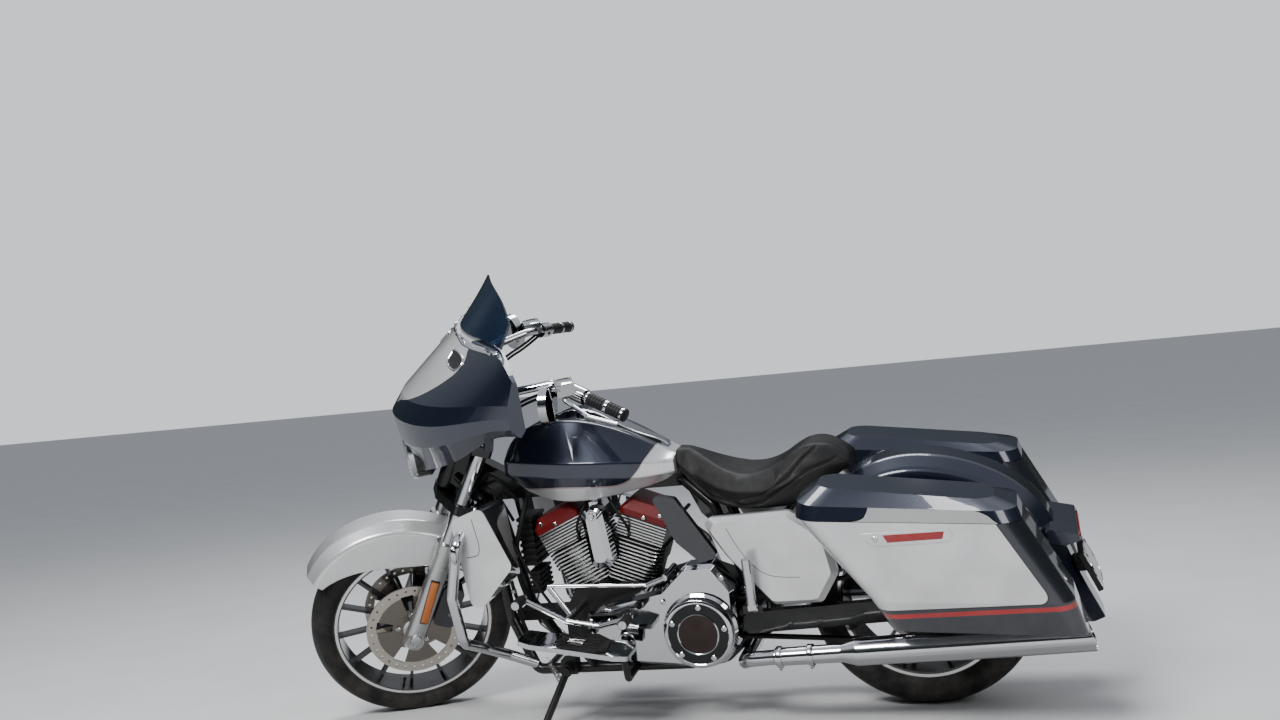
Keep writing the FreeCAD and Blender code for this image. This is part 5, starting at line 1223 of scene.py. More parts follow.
class CRUISER_OT_headlamp(bpy.types.Operator):
    """Round headlamp with a chrome bezel, two projector lenses and a clear dome"""
    bl_idname = "cruiser.headlamp"
    bl_label = "Headlamp"
    bl_options = {"REGISTER", "UNDO"}

    def execute(self, context):
        forward = (1, 0, 0)
        bowl = turned([(0.0001, -0.085), (0.040, -0.085), (0.083, -0.046), (0.083, -0.002),
                       (0.078, -0.002), (0.076, -0.03), (0.05, -0.044), (0.0001, -0.046)],
                      LAMP_AT, forward, 64)
        finish_piece(bowl, "lamp_bowl", "front_end", "gloss_black")
        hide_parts("headlamp")
        bezel = turned([(0.0745, 0.004), (0.0838, -0.004), (0.0838, 0.006), (0.0805, 0.012),
                        (0.0755, 0.0135), (0.0735, 0.009), (0.0745, 0.004)], LAMP_AT, forward, 96)
        pieces = [bezel]
        radius = 0.030
        for height in (0.031, -0.031):
            at = LAMP_AT + Vector((-0.018, 0, height))
            pieces.append(turned([(radius, -0.012), (radius + 0.004, 0.006),
                                  (radius + 0.001, 0.010), (radius - 0.003, 0.006),
                                  (radius - 0.004, -0.012), (radius, -0.012)], at, forward, 48))
        for across in (0.048, -0.048):
            at = LAMP_AT + Vector((-0.026, across, 0))
            pieces.append(turned([(0.017, 0.012), (0.019, 0.010), (0.012, -0.008),
                                  (0.0001, -0.012), (0.0001, -0.011), (0.011, -0.007),
                                  (0.017, 0.012)], at, forward, 40))
        finish_piece(joined(pieces), "lamp_bezel", "front_end", "chrome_front")
        lenses = []
        for height in (0.031, -0.031):
            at = LAMP_AT + Vector((-0.016, 0, height))
            lenses.append(turned([(0.0001, 0.016), (0.010, 0.0145), (0.019, 0.0095), (0.0255, 0.0),
                                  (0.0255, -0.006), (0.0001, -0.006)], at, forward, 40))
        finish_piece(joined(lenses), "lamp_projectors", "front_end", "projector")
        dome = turned([(0.0765, 0.008), (0.068, 0.0155), (0.05, 0.0205), (0.025, 0.0235),
                       (0.0001, 0.0245), (0.0001, 0.0225), (0.025, 0.0215), (0.05, 0.0185),
                       (0.068, 0.0135), (0.0745, 0.0075), (0.0765, 0.008)], LAMP_AT, forward, 64)
        finish_piece(dome, "lamp_dome", "front_end", "glass")
        return {"FINISHED"}


# Fairing vents and the strip under the screen, in the fork's own axes.
VENT = [(1.334, 0.098, 1.195), (1.322, 0.092, 1.206), (1.308, 0.152, 1.197),
        (1.315, 0.168, 1.185), (1.339, 0.160, 1.169), (1.350, 0.107, 1.179)]
SCREEN_STRIP = [(1.303, 0.044, 1.230), (1.299, 0.104, 1.221), (1.276, 0.164, 1.218),
                (1.245, 0.228, 1.219), (1.212, 0.268, 1.220)]


def widened(points, share):
    """An outline grown about its middle."""
    middle = sum((Vector(point) for point in points), Vector()) / len(points)
    return [middle + (Vector(point) - middle) * share for point in points]


class CRUISER_OT_fairing(bpy.types.Operator):
    """Vents, screen strip and screws of the fairing"""
    bl_idname = "cruiser.fairing"
    bl_label = "Fairing trim"
    bl_options = {"REGISTER", "UNDO"}

    def execute(self, context):
        grille = widened(VENT, 1.18)
        vent = both_sides(patch("fairing_shell", grille, "X", 0.0012, FORK, 2))
        finish_piece(vent, "fairing_vents", "front_end", "mesh_dark")
        rims = both_sides(line_on("fairing_shell", widened(VENT, 1.22), (-1, 0, 0), 0.0034, FORK,
                                  True, 0.001))
        finish_piece(rims, "vent_rims", "front_end", "chrome_front")
        low = [(x, -y, z) for x, y, z in reversed(SCREEN_STRIP)] + SCREEN_STRIP
        high = [(x, y, z + 0.013) for x, y, z in reversed(low)]
        band = patch("fairing_shell", low + high, "X", 0.0018, FORK, 3, 0.0005)
        finish_piece(band, "screen_gasket", "front_end", "chrome_front")
        screws = [(x, y * side, z + 0.0065) for x, y, z in SCREEN_STRIP[1:3] for side in (1, -1)]
        screws = bolts_on("fairing_shell", screws + [(1.303, 0.0, 1.2375)], (-1, 0, 0), 0.0050,
                          0.0035, FORK)
        finish_piece(screws, "screen_screws", "front_end", "chrome_front")
        return {"FINISHED"}


class CRUISER_OT_primary(bpy.types.Operator):
    """Bolts, rings and covers on the left engine cases"""
    bl_idname = "cruiser.primary"
    bl_label = "Primary and derby covers"
    bl_options = {"REGISTER", "UNDO"}

    def execute(self, context):
        inward = (0, -1, 0)
        at = Vector((0.617, 0.0, 0.306))
        face = surface("derby_cover", at + Vector((0, 0.4, 0)), inward)[0].y
        side = Vector((at.x, face, at.z))
        ring = turned([(0.0885, -0.004), (0.1002, -0.004), (0.1002, 0.0), (0.097, 0.0022),
                       (0.0905, 0.0026), (0.0885, 0.001), (0.0885, -0.004)], side, (0, 1, 0), 96)
        lip = turned([(0.0575, -0.002), (0.0615, -0.002), (0.0612, 0.0018), (0.059, 0.0028),
                      (0.0572, 0.0016), (0.0575, -0.002)], side, (0, 1, 0), 80)
        finish_piece(joined([ring, lip]), "derby_rings", "chassis", "chrome")
        centre = turned([(0.0001, 0.0012), (0.02, 0.0013), (0.021, 0.0008), (0.04, 0.001),
                         (0.041, 0.0006), (0.056, 0.0004), (0.0572, -0.002), (0.0001, -0.002)],
                        side, (0, 1, 0), 80)
        finish_piece(centre, "derby_centre", "chassis", "derby_brown")
        spots = circle(side, 0.0795, 5, "Y", 26.0)
        bolts = scatter(bolt(0.0082, 0.0045, 16), [(spot, (0, 1, 0)) for spot in spots])
        case = [(0.887, 0.346), (0.839, 0.356), (0.718, 0.395), (0.538, 0.455), (0.512, 0.273)]
        others = bolts_on("primary_cover", [(x, 0.30, z) for x, z in case], inward, 0.0075, 0.007)
        finish_piece(joined([bolts, others]), "primary_bolts", "chassis", "chrome")
        lid = Vector((0.845, 0.0, 0.282))
        face = surface("primary_cover", lid + Vector((0, 0.4, 0)), inward)[0].y
        cover = turned([(0.0001, 0.004), (0.02, 0.004), (0.024, 0.0035), (0.026, 0.0),
                        (0.026, -0.003), (0.0001, -0.003)], (lid.x, face, lid.z), (0, 1, 0), 40)
        slots = scatter(bolt(0.0045, 0.003), [(spot + Vector((0, 0.0035, 0)), (0, 1, 0)) for spot
                                              in circle((lid.x, face, lid.z), 0.0165, 4)])
        finish_piece(joined([cover, slots]), "inspection_cover", "chassis", "chrome")
        return {"FINISHED"}


class CRUISER_OT_grips(bpy.types.Operator):
    """Ribbed rubber grips with chrome bands, switch buttons and reservoir screws"""
    bl_idname = "cruiser.grips"
    bl_label = "Grips and switches"
    bl_options = {"REGISTER", "UNDO"}

    def execute(self, context):
        start, end = Vector((1.062, 0.262, 1.098)), Vector((0.905, 0.446, 1.026))
        along = (end - start).normalized()
        inner = start + along * 0.118
        length = (end + along * 0.002 - inner).length
        profile = [(0.0125, 0.0), (0.0195, 0.0)]
        ribs = 12
        for n in range(ribs):
            a = 0.008 + (length - 0.016) * n / ribs
            b = 0.008 + (length - 0.016) * (n + 1) / ribs
            profile += [(0.0165, a), (0.0182, a + 0.0012), (0.0184, (a + b) / 2),
                        (0.0182, b - 0.0012), (0.0165, b)]
        profile += [(0.0195, length - 0.006), (0.0195, length - 0.001), (0.017, length),
                    (0.0001, length)]
        grip = both_sides(turned(profile, inner, along, 40))
        finish_piece(grip, "grip_rubbers", "front_end", "rubber_front")
        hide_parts("grips")
        bands = []
        for a, b in ((0.0, 0.006), (length * 0.48, length * 0.56),
                     (length - 0.014, length - 0.004)):
            bands.append(turned([(0.0160, a), (0.0188, a), (0.0193, a + 0.001),
                                 (0.0193, b - 0.001), (0.0188, b), (0.0160, b), (0.0160, a)],
                                inner, along, 40))
        finish_piece(both_sides(joined(bands)), "grip_bands", "front_end", "chrome_front")
        root = start + along * 0.074
        caps = [root + Vector((x, y, 0.038)) for x in (0.010, 0.048) for y in (-0.028, 0.018)]
        screws = both_sides(scatter(bolt(0.0035, 0.0015), [(at, (0, 0, 1)) for at in caps]))
        finish_piece(screws, "reservoir_screws", "front_end", "steel_front")
        lid = patch("hand_controls", [root + Vector((x, y, 0.038)) for x, y in (
            (0.006, -0.032), (0.052, -0.032), (0.052, 0.022), (0.006, 0.022))], "Z", 0.0018, FORK,
            1, 0.0007)
        finish_piece(both_sides(lid), "reservoir_lids", "front_end", "chrome_front")
        buttons = []
        side = along.cross(Vector((0, 0, 1))).normalized()
        for share, turn in ((0.074, 0.2), (0.086, -0.5), (0.100, 0.35)):
            way = (-side + Vector((0, 0, turn))).normalized()
            at = start + along * share + way * 0.0225
            button = turned([(0.0001, 0.0045), (0.0045, 0.0042), (0.0056, 0.003), (0.0056, 0.0),
                             (0.0001, 0.0)], at, way, 24)
            buttons.append(button)
        finish_piece(both_sides(joined(buttons)), "switch_buttons", "front_end", "plastic_front")
        return {"FINISHED"}


class CRUISER_OT_wheels(bpy.types.Operator):
    """Hub caps, disc bolts and valve stems"""
    bl_idname = "cruiser.wheels"
    bl_label = "Wheel fittings"
    bl_options = {"REGISTER", "UNDO"}

    def execute(self, context):
        bolts = []
        for side in (1, -1):
            spots = circle((FRONT_HUB.x, 0.16 * side, FRONT_HUB.z), 0.052, 5, "Y", 18.0)
            bolts.append(bolts_on("front_discs", spots, (0, -side, 0), 0.0075, 0.006, FORK, 0.04))
        caps = []
        for side in (1, -1):
            at = FRONT_HUB + Vector((0, 0.0765 * side, 0))
            caps.append(turned([(0.0215, 0.0), (0.036, 0.0), (0.0355, 0.004), (0.030, 0.0068),
                                (0.0215, 0.0075), (0.0215, 0.0)], at, (0, side, 0), 48))
        finish_piece(joined(bolts + caps), "front_hub_fittings", "front_wheel", "chrome_front")
        for hub, radius, body in (
                (FRONT_HUB, 0.243, "front_wheel"), (REAR_AXLE, 0.231, "rear_wheel")):
            down = Vector((0.35, 0, -1)).normalized()
            stem = turned([(0.0001, 0.0), (0.0045, 0.0), (0.0045, 0.014), (0.003, 0.016),
                           (0.003, 0.024), (0.0048, 0.025), (0.0048, 0.034), (0.0001, 0.036)],
                          hub + down * (radius - 0.001) + Vector((0, 0.022, 0)), -down, 20)
            finish_piece(stem, body + "_valve", body, "rubber")
        spots = circle((0, 0.16, REAR_HUB_HEIGHT), 0.060, 5, "Y", 20.0)
        rear = bolts_on("rear_drive", spots, (0, -1, 0), 0.0085, 0.006)
        finish_piece(rear, "pulley_bolts", "rear_wheel", "steel")
        return {"FINISHED"}


def outermost(node, height, low, high, matrix):
    """The point of a node at one height that stands out furthest to the left."""
    found = []
    for step in range(25):
        at = Vector((low + (high - low) * step / 24, 0.6, height))
        hit, point, _, _ = NODES[node].ray_cast(
            matrix @ at, (matrix.to_3x3() @ Vector((0, -1, 0))).normalized())
        if hit:
            found.append(matrix.inverted() @ point)
    return max(found, key=lambda point: point.y)


class CRUISER_OT_fork(bpy.types.Operator):
    """Amber reflectors, axle covers, pinch bolts and brake hoses"""
    bl_idname = "cruiser.fork"
    bl_label = "Fork fittings"
    bl_options = {"REGISTER", "UNDO"}

    def execute(self, context):
        crown = outermost("fork_sliders", 0.437, 1.45, 1.65, FORK)
        lens, frame_corners = [], []
        for reach, wide, into in ((0.070, 0.0105, lens), (0.075, 0.0135, frame_corners)):
            for up, fore in ((1, -1), (1, 1), (-1, 1), (-1, -1)):
                into.append(crown + STEERING_UP * reach * up + STEERING_FORE * wide * fore)
        holder = both_sides(patch("fork_sliders", frame_corners, "Y", 0.003, FORK, 5, 0.001))
        finish_piece(holder, "reflector_holders", "front_end", "plastic_front")
        lens = both_sides(patch("fork_sliders", lens, "Y", 0.0062, FORK, 5, 0.0015))
        finish_piece(lens, "fork_reflectors", "front_end", "amber")
        caps = []
        for side in (1, -1):
            at = surface("front_axle", FRONT_HUB + Vector((0, 0.3 * side, 0)), (0, -side, 0),
                         FORK)[0]
            caps.append(turned([(0.0001, 0.0055), (0.010, 0.005), (0.0165, 0.003), (0.0185, 0.0),
                                (0.0185, -0.004), (0.0001, -0.004)], at, (0, side, 0), 32))
        for height in (0.300, 0.338):
            spot = outermost("fork_sliders", height, 1.56, 1.70, FORK)
            caps.append(scatter(bolt(0.006, 0.006), [(spot - Vector((0, 0.001, 0)), (0, 1, 0)),
                                                     (Vector((spot.x, -spot.y + 0.001, spot.z)),
                                                      (0, -1, 0))]))
        finish_piece(joined(caps), "axle_covers", "front_end", "chrome_front")
        line = [(1.505, 0.098, 0.452), (1.478, 0.125, 0.500), (1.462, 0.136, 0.560),
                (1.428, 0.132, 0.640), (1.392, 0.118, 0.700), (1.350, 0.080, 0.760),
                (1.320, 0.060, 0.840)]
        finish_piece(both_sides(hose(line, 0.0036)), "brake_lines", "front_end", "rubber_front")
        unions = []
        for at, way in (((1.503, 0.100, 0.455), (-0.4, 0.4, 0.8)),
                        ((1.436, 0.133, 0.622), (-0.4, 0, 0.9))):
            unions.append(turned([(0.0001, -0.006), (0.0052, -0.006), (0.006, -0.004),
                                  (0.006, 0.004), (0.0048, 0.009), (0.0001, 0.009)],
                                 at, way, 16))
        finish_piece(both_sides(joined(unions)), "brake_unions", "front_end", "chrome_front")
        bleed = [(1.486, 0.118, 0.43), (1.506, 0.118, 0.36)]
        finish_piece(joined([bolts_on("front_calipers", bleed, (0, -1, 0), 0.006, 0.005, FORK),
                             bolts_on("front_calipers", on_side(bleed, -1), (0, 1, 0), 0.006,
                                      0.005, FORK)]),
                     "caliper_bolts", "front_end", "steel_front")
        return {"FINISHED"}


class CRUISER_OT_cables(bpy.types.Operator):
    """Hoses and leads round the bars and the engine, and the electrical boxes, which also darken
    the gap behind the frame as painted shade
    """
    bl_idname = "cruiser.cables"
    bl_label = "Hoses and leads"
    bl_options = {"REGISTER", "UNDO"}

    def execute(self, context):
        bars = []
        for drop in (0.0, 0.012):
            bars.append(hose([(1.030, 0.296, 1.078 - drop), (1.085, 0.236, 1.068 - drop),
                              (1.150, 0.215, 1.052 - drop), (1.210, 0.190, 1.020 - drop),
                              (1.262, 0.150, 0.980 - drop), (1.300, 0.100, 0.935)], 0.0042))
        finish_piece(both_sides(joined(bars)), "bar_hoses", "front_end", "rubber_front")
        lines = [
            ([(1.290, 0.050, 0.760), (1.262, 0.066, 0.790), (1.226, 0.074, 0.775),
              (1.196, 0.070, 0.735), (1.176, 0.058, 0.690)], 0.0062),
            ([(1.300, 0.046, 0.735), (1.270, 0.070, 0.750), (1.236, 0.078, 0.730),
              (1.214, 0.070, 0.680), (1.200, 0.056, 0.630)], 0.0050),
            ([(1.242, 0.072, 0.735), (1.228, 0.104, 0.66), (1.190, 0.120, 0.58),
              (1.152, 0.126, 0.50), (1.118, 0.122, 0.42), (1.090, 0.105, 0.36)], 0.0045),
            ([(1.262, 0.060, 0.700), (1.246, 0.086, 0.60), (1.226, 0.096, 0.50),
              (1.214, 0.098, 0.40), (1.200, 0.086, 0.33)], 0.0060),
            ([(1.150, 0.050, 0.690), (1.160, 0.085, 0.640), (1.190, 0.092, 0.560),
              (1.205, 0.080, 0.46), (1.190, 0.060, 0.38)], 0.0075),
            ([(0.560, 0.095, 0.600), (0.540, 0.120, 0.54), (0.500, 0.125, 0.48),
              (0.452, 0.112, 0.42), (0.430, 0.100, 0.37)], 0.0060),
            ([(1.150, 0.062, 0.235), (1.178, 0.085, 0.240), (1.206, 0.090, 0.30),
              (1.222, 0.082, 0.38)], 0.0065),
        ]
        finish_piece(joined([hose(points, radius) for points, radius in lines]), "engine_hoses",
                     "chassis", "rubber")
        leads = [[(0.985, 0.052, 0.560), (0.992, 0.092, 0.585), (0.970, 0.104, 0.640),
                  (0.940, 0.080, 0.690), (0.925, 0.052, 0.715)],
                 [(0.836, 0.052, 0.560), (0.824, 0.092, 0.590), (0.848, 0.104, 0.645),
                  (0.880, 0.080, 0.690), (0.895, 0.052, 0.715)]]
        leads = joined([hose(points, 0.0042) for points in leads])
        boots = joined([turned([(0.0001, -0.004), (0.0075, -0.004), (0.008, 0.010),
                                (0.0062, 0.022), (0.0048, 0.030), (0.0001, 0.030)], at, way, 20)
                        for at, way in (((0.985, 0.056, 0.560), (0.2, 1, 0.4)),
                                        ((0.836, 0.056, 0.560), (-0.2, 1, 0.4)))])
        finish_piece(joined([leads, boots]), "spark_leads", "chassis", "rubber")
        self.pack()
        collars = [((0.0058, 0.0052), (1.200, 0.1195, 0.5965), (-0.3, 0.1, -0.8)),
                   ((0.0075, 0.0068), (1.2175, 0.0975, 0.42), (-0.1, 0, -1)),
                   ((0.0090, 0.0080), (1.1965, 0.0890, 0.53), (0.2, 0, -0.9))]
        rings = [turned([(inner, -0.005), (outer + 0.001, -0.005), (outer + 0.0015, 0.0),
                         (outer + 0.001, 0.005), (inner, 0.005), (inner, -0.005)], at, way, 24)
                 for (outer, inner), at, way in collars]
        finish_piece(joined(rings), "hose_clips", "chassis", "steel")
        return {"FINISHED"}

    def pack(self):
        """Ribbed black electrical boxes in the gap behind the frame's front tubes, also put there
        as painted shade to darken that gap.
        """
        boxes = []
        for middle, size, ribs in (((1.166, 0.0, 0.560), (0.050, 0.116, 0.150), 7),
                                   ((1.160, 0.0, 0.430), (0.036, 0.104, 0.070), 4)):
            clear_selection()
            bpy.ops.mesh.primitive_cube_add(size=1, location=middle, scale=size)
            box = bpy.context.object
            place(box, Matrix.Identity(4))
            edit(box)
            bpy.ops.mesh.select_all(action="SELECT")
            bpy.ops.mesh.subdivide(number_cuts=ribs * 2)
            low, high = middle[2] - size[2] / 2, middle[2] + size[2] / 2
            step = (high - low) / (ribs * 2 + 1)
            pick(box, lambda at, normal: abs(normal.z) < 0.5
                 and int((at.z - low) / step) % 2 == 1)
            bpy.ops.mesh.inset(thickness=0.0004, depth=-0.005)
            done(box)
            boxes.append(modify(box, "BEVEL", width=0.0012, segments=1, limit_method="ANGLE",
                                angle_limit=0.9))
        # The boxes are partly painted shade: dark fill for the gap behind the frame's front tubes.
        finish_piece(joined(boxes), "electrical_boxes", "chassis", "engine_black")


class CRUISER_OT_engine(bpy.types.Operator):
    """Bolts of the rocker and cam covers, the horn's knob and the air cleaner's trim"""
    bl_idname = "cruiser.engine"
    bl_label = "Engine fittings"
    bl_options = {"REGISTER", "UNDO"}

    def execute(self, context):
        inward = (0, -1, 0)
        horn = surface("horn_cover", (0.912, 0.4, 0.652), inward)[0]
        knob = turned([(0.0001, 0.0085), (0.008, 0.0082), (0.0098, 0.006), (0.0105, 0.002),
                       (0.016, 0.0012), (0.0175, -0.002), (0.0001, -0.002)], horn, (0, 1, 0), 40)
        finish_piece(knob, "horn_knob", "chassis", "chrome")
        covers = []
        for low, high, height in ((0.985, 1.125, 0.618), (0.706, 0.845, 0.618)):
            for share in (0.15, 0.5, 0.85):
                covers.append((low + (high - low) * share, 0.2, height))
        for side in (1, -1):
            spots = []
            for x, y, z in covers:
                hit, point, _, _ = NODES["rocker_covers"].ray_cast(
                    CHASSIS @ Vector((x, y * side, z)),
                    (CHASSIS.to_3x3() @ Vector((0, -side, 0))).normalized())
                if hit:
                    spots.append((CHASSIS.inverted() @ point, (0, side, 0)))
            finish_piece(scatter(bolt(0.0062, 0.006), spots),
                         "rocker_bolts_left" if side > 0 else "rocker_bolts_right", "chassis",
                         "chrome")
        cam = [(0.852, -0.3, 0.26), (0.915, -0.3, 0.226), (0.978, -0.3, 0.26), (0.868, -0.3, 0.33),
               (0.962, -0.3, 0.33)]
        finish_piece(bolts_on("cam_cover", cam, (0, 1, 0), 0.0065, 0.005), "cam_bolts",
                     "chassis", "steel")
        cleaner = Vector((0.915, 0.0, 0.556))
        face = surface("air_cleaner", cleaner - Vector((0, 0.5, 0)), (0, 1, 0))[0]
        boss = turned([(0.0001, 0.006), (0.010, 0.0055), (0.013, 0.003), (0.0135, -0.002),
                       (0.0001, -0.002)], face, (0, -1, 0), 32)
        ring = turned([(0.058, -0.002), (0.062, -0.002), (0.0615, 0.002), (0.060, 0.0028),
                       (0.0585, 0.002), (0.058, -0.002)], face, (0, -1, 0), 64)
        finish_piece(joined([boss, ring]), "air_cleaner_trim", "chassis", "gloss_black")
        return {"FINISHED"}


class CRUISER_OT_bags(bpy.types.Operator):
    """Side reflectors, their surrounds and the locks of the bags"""
    bl_idname = "cruiser.bags"
    bl_label = "Bag fittings"
    bl_options = {"REGISTER", "UNDO"}

    def execute(self, context):
        surround = [(0.094, 0.465, 0.6325), (0.086, 0.465, 0.616), (0.056, 0.465, 0.597),
                    (-0.122, 0.465, 0.5985), (-0.138, 0.465, 0.6155), (-0.127, 0.465, 0.6315)]
        lens = [(0.036, 0.465, 0.6265), (0.026, 0.465, 0.6060), (-0.111, 0.465, 0.6075),
                (-0.117, 0.465, 0.6265)]
        for side, name in ((1, "left"), (-1, "right")):
            node = "saddlebag_" + name
            axis = "Y" if side > 0 else "-Y"
            raised = patch(node, on_side(surround, side), axis, 0.0035, CHASSIS, 4, 0.0016)
            finish_piece(raised, "reflector_surround_" + name, "chassis", "silver")
            red = patch(node, on_side(lens, side), axis, 0.0052, CHASSIS, 4, 0.0010)
            finish_piece(red, "side_reflector_" + name, "chassis", "red_lens")
            at = surface(node, (0.056, 0.6 * side, 0.6165), (0, -side, 0))[0]
            lock = turned([(0.0001, 0.0062), (0.0035, 0.0062), (0.0042, 0.0052),
                           (0.0068, 0.0052), (0.0078, 0.0045), (0.0082, 0.002), (0.0001, 0.002)],
                          at, (0, side, 0), 32)
            finish_piece(lock, "bag_lock_" + name, "chassis", "chrome")
        return {"FINISHED"}


class CRUISER_OT_boards(bpy.types.Operator):
    """Rubber pads with chrome inserts, ribbed sleeves on the shifter and a brake pad"""
    bl_idname = "cruiser.boards"
    bl_label = "Footboards and pegs"
    bl_options = {"REGISTER", "UNDO"}

    def execute(self, context):
        top = 0.33
        for side, name in ((1, "left"), (-1, "right")):
            node = "floorboard_" + name
            # The left pad stops short of the heel lever, which the folded board passes.
            rear = 0.856 if side == 1 else 0.805
            outline = [(rear, 0.276, top), (1.068, 0.274, top), (1.082, 0.290, top),
                       (1.074, 0.352, top), (0.98, 0.380, top), (rear + 0.025, 0.382, top),
                       (rear - 0.002, 0.362, top)]
            pad = patch(node, on_side(outline, side), "Z", 0.0075, CHASSIS, 4, 0.002)
            ribs = []
            for step in range(5):
                y = 0.288 + step * 0.019
                strip = [(rear + 0.015, y, top), (1.055, y, top), (1.055, y + 0.006, top),
                         (rear + 0.015, y + 0.006, top)]
                ribs.append(patch(node, on_side(strip, side), "Z", 0.0098, CHASSIS, 4, 0.0012))
            finish_piece(joined([pad] + ribs), "board_pad_" + name, node, "rubber")
            insert = [(0.925, 0.318, top), (0.97, 0.318, top), (0.97, 0.352, top),
                      (0.925, 0.352, top)]
            insert = patch(node, on_side(insert, side), "Z", 0.0108, CHASSIS, 2, 0.0012)
            finish_piece(insert, "board_insert_" + name, node, "chrome")
        sleeves = []
        for x, z in ((1.123, 0.444), (0.809, 0.372)):
            profile = [(0.0121, 0.0), (0.0135, 0.0005)]
            for rib in range(7):
                a = 0.002 + rib * 0.0068
                profile += [(0.0135, a), (0.0152, a + 0.0008), (0.0152, a + 0.0046),
                            (0.0135, a + 0.0054)]
            profile += [(0.0152, 0.052), (0.0135, 0.0535), (0.0121, 0.0535), (0.0121, 0.0)]
            sleeves.append(turned(profile, (x, 0.2655, z), (0, 1, 0), 28))
        finish_piece(joined(sleeves), "shifter_sleeves", "chassis", "rubber")
        pad = patch("foot_controls", [(1.097, -0.324, 0.45), (1.149, -0.324, 0.45),
                                      (1.149, -0.266, 0.45), (1.097, -0.266, 0.45)], "Z", 0.005,
                    CHASSIS, 3, 0.0015)
        finish_piece(pad, "brake_pad_rubber", "chassis", "rubber")
        return {"FINISHED"}


class CRUISER_OT_shields(bpy.types.Operator):
    """Door lines of the leg shields, trims of the guard, seams of the side covers"""
    bl_idname = "cruiser.shields"
    bl_label = "Leg shields and side covers"
    bl_options = {"REGISTER", "UNDO"}

    def execute(self, context):
        door = [(1.229, 0.4, 0.702), (1.225, 0.4, 0.670), (1.217, 0.4, 0.624),
                (1.2215, 0.4, 0.596), (1.236, 0.4, 0.5895), (1.262, 0.4, 0.5885)]
        finish_piece(seams_on("leg_shields", door, 0.0011), "shield_door_lines", "chassis",
                     "rubber")
        latch = turned([(0.0001, 0.0075), (0.0045, 0.007), (0.0085, 0.0045), (0.0105, 0.0),
                        (0.0105, -0.003), (0.0001, -0.003)], steps=40)
        latch.data.transform(Matrix.Diagonal((1.0, 2.6, 1.0, 1.0)))
        at = outermost("engine_guard", 0.609, 1.22, 1.34, CHASSIS)
        latch.data.transform(towards(at + Vector((0, -0.001, 0)), (0, 1, 0)))
        finish_piece(both_sides(latch), "guard_trims", "chassis", "chrome")
        seam = [(0.504, 0.4, 0.600), (0.484, 0.4, 0.550), (0.448, 0.4, 0.494),
                (0.410, 0.4, 0.458), (0.360, 0.4, 0.447), (0.312, 0.4, 0.446)]
        finish_piece(seams_on("side_covers", seam, 0.0009), "side_cover_lines", "chassis",
                     "plastic")
        return {"FINISHED"}


class CRUISER_OT_exhaust(bpy.types.Operator):
    """Clamps where the mufflers meet the pipes, and their dark outlets"""
    bl_idname = "cruiser.exhaust"
    bl_label = "Exhaust fittings"
    bl_options = {"REGISTER", "UNDO"}

    def execute(self, context):
        start, end = Vector((0.396, 0.262, 0.240)), Vector((-0.452, 0.290, 0.274))
        run = (end - start).normalized()
        length = (end - start).length
        clamps = []
        for at, radius in ((0.012, 0.0255), (0.10, 0.0262)):
            clamps.append(turned([(radius, -0.008), (radius + 0.003, -0.008),
                                  (radius + 0.0042, -0.006), (radius + 0.0042, 0.006),
                                  (radius + 0.003, 0.008), (radius, 0.008), (radius, -0.008)],
                                 start + run * at, run, 48))
            lug = scatter(bolt(0.0055, 0.020), [(start + run * at + Vector(
                (0, -0.010, -radius - 0.007)), (0, 1, 0))])
            clamps.append(lug)
        finish_piece(both_sides(joined(clamps)), "muffler_clamps", "chassis", "chrome")
        core = turned([(0.0315, 0.0), (0.0315, -0.075), (0.0001, -0.075), (0.0001, -0.077),
                       (0.0330, -0.077), (0.0330, 0.0), (0.0315, 0.0)],
                      start + run * (length - 0.045), run, 48)
        finish_piece(both_sides(core), "muffler_outlets", "chassis", "soot")
        return {"FINISHED"}


PLATE_SLOPE = math.radians(22.7)


class CRUISER_OT_tail(bpy.types.Operator):
    """Screws and surround of the plate, and the lens of the lamp bar"""
    bl_idname = "cruiser.tail"
    bl_label = "Tail fittings"
    bl_options = {"REGISTER", "UNDO"}

    def execute(self, context):
        middle = Vector((-0.466, 0, 0.384))
        up = Vector((math.sin(PLATE_SLOPE), 0, math.cos(PLATE_SLOPE)))
        out = Vector((-math.cos(PLATE_SLOPE), 0, math.sin(PLATE_SLOPE)))
        screws = []
        for side in (1, -1):
            at = middle + up * 0.039 + Vector((0, 0.07 * side, 0)) + out * 0.002
            screws.append((at, out))
        finish_piece(scatter(bolt(0.0062, 0.0035), screws), "plate_screws", "chassis", "steel")
        corners_at = []
        for a, b in ((1, 1), (1, -1), (-1, -1), (-1, 1)):
            corners_at.append(middle + up * 0.053 * a + Vector((0, 0.091 * b, 0)) + out * 0.0022)
        rim = hose(corners_at, 0.0026, 3, 8, True)
        finish_piece(rim, "plate_surround", "chassis", "chrome")
        lens = [(-0.43, 0.12, 0.497), (-0.43, -0.12, 0.497), (-0.43, -0.12, 0.488),
                (-0.43, 0.12, 0.488)]
        lens = patch("lamp_bar", lens, "-X", 0.003, CHASSIS, 4, 0.001)
        finish_piece(lens, "lamp_bar_lens", "chassis", "red_lens")
        return {"FINISHED"}


# Dials as (across, up, radius) in the fork's own axes, and their scale in degrees.
DIALS = [(0.058, 1.162, 0.044), (-0.058, 1.162, 0.044), (0.158, 1.150, 0.030),
         (-0.158, 1.150, 0.030)]
DIAL_TICKS, DIAL_START, DIAL_STEP = 21, 225, 13.5
NEEDLE_ANGLE = math.radians(215)


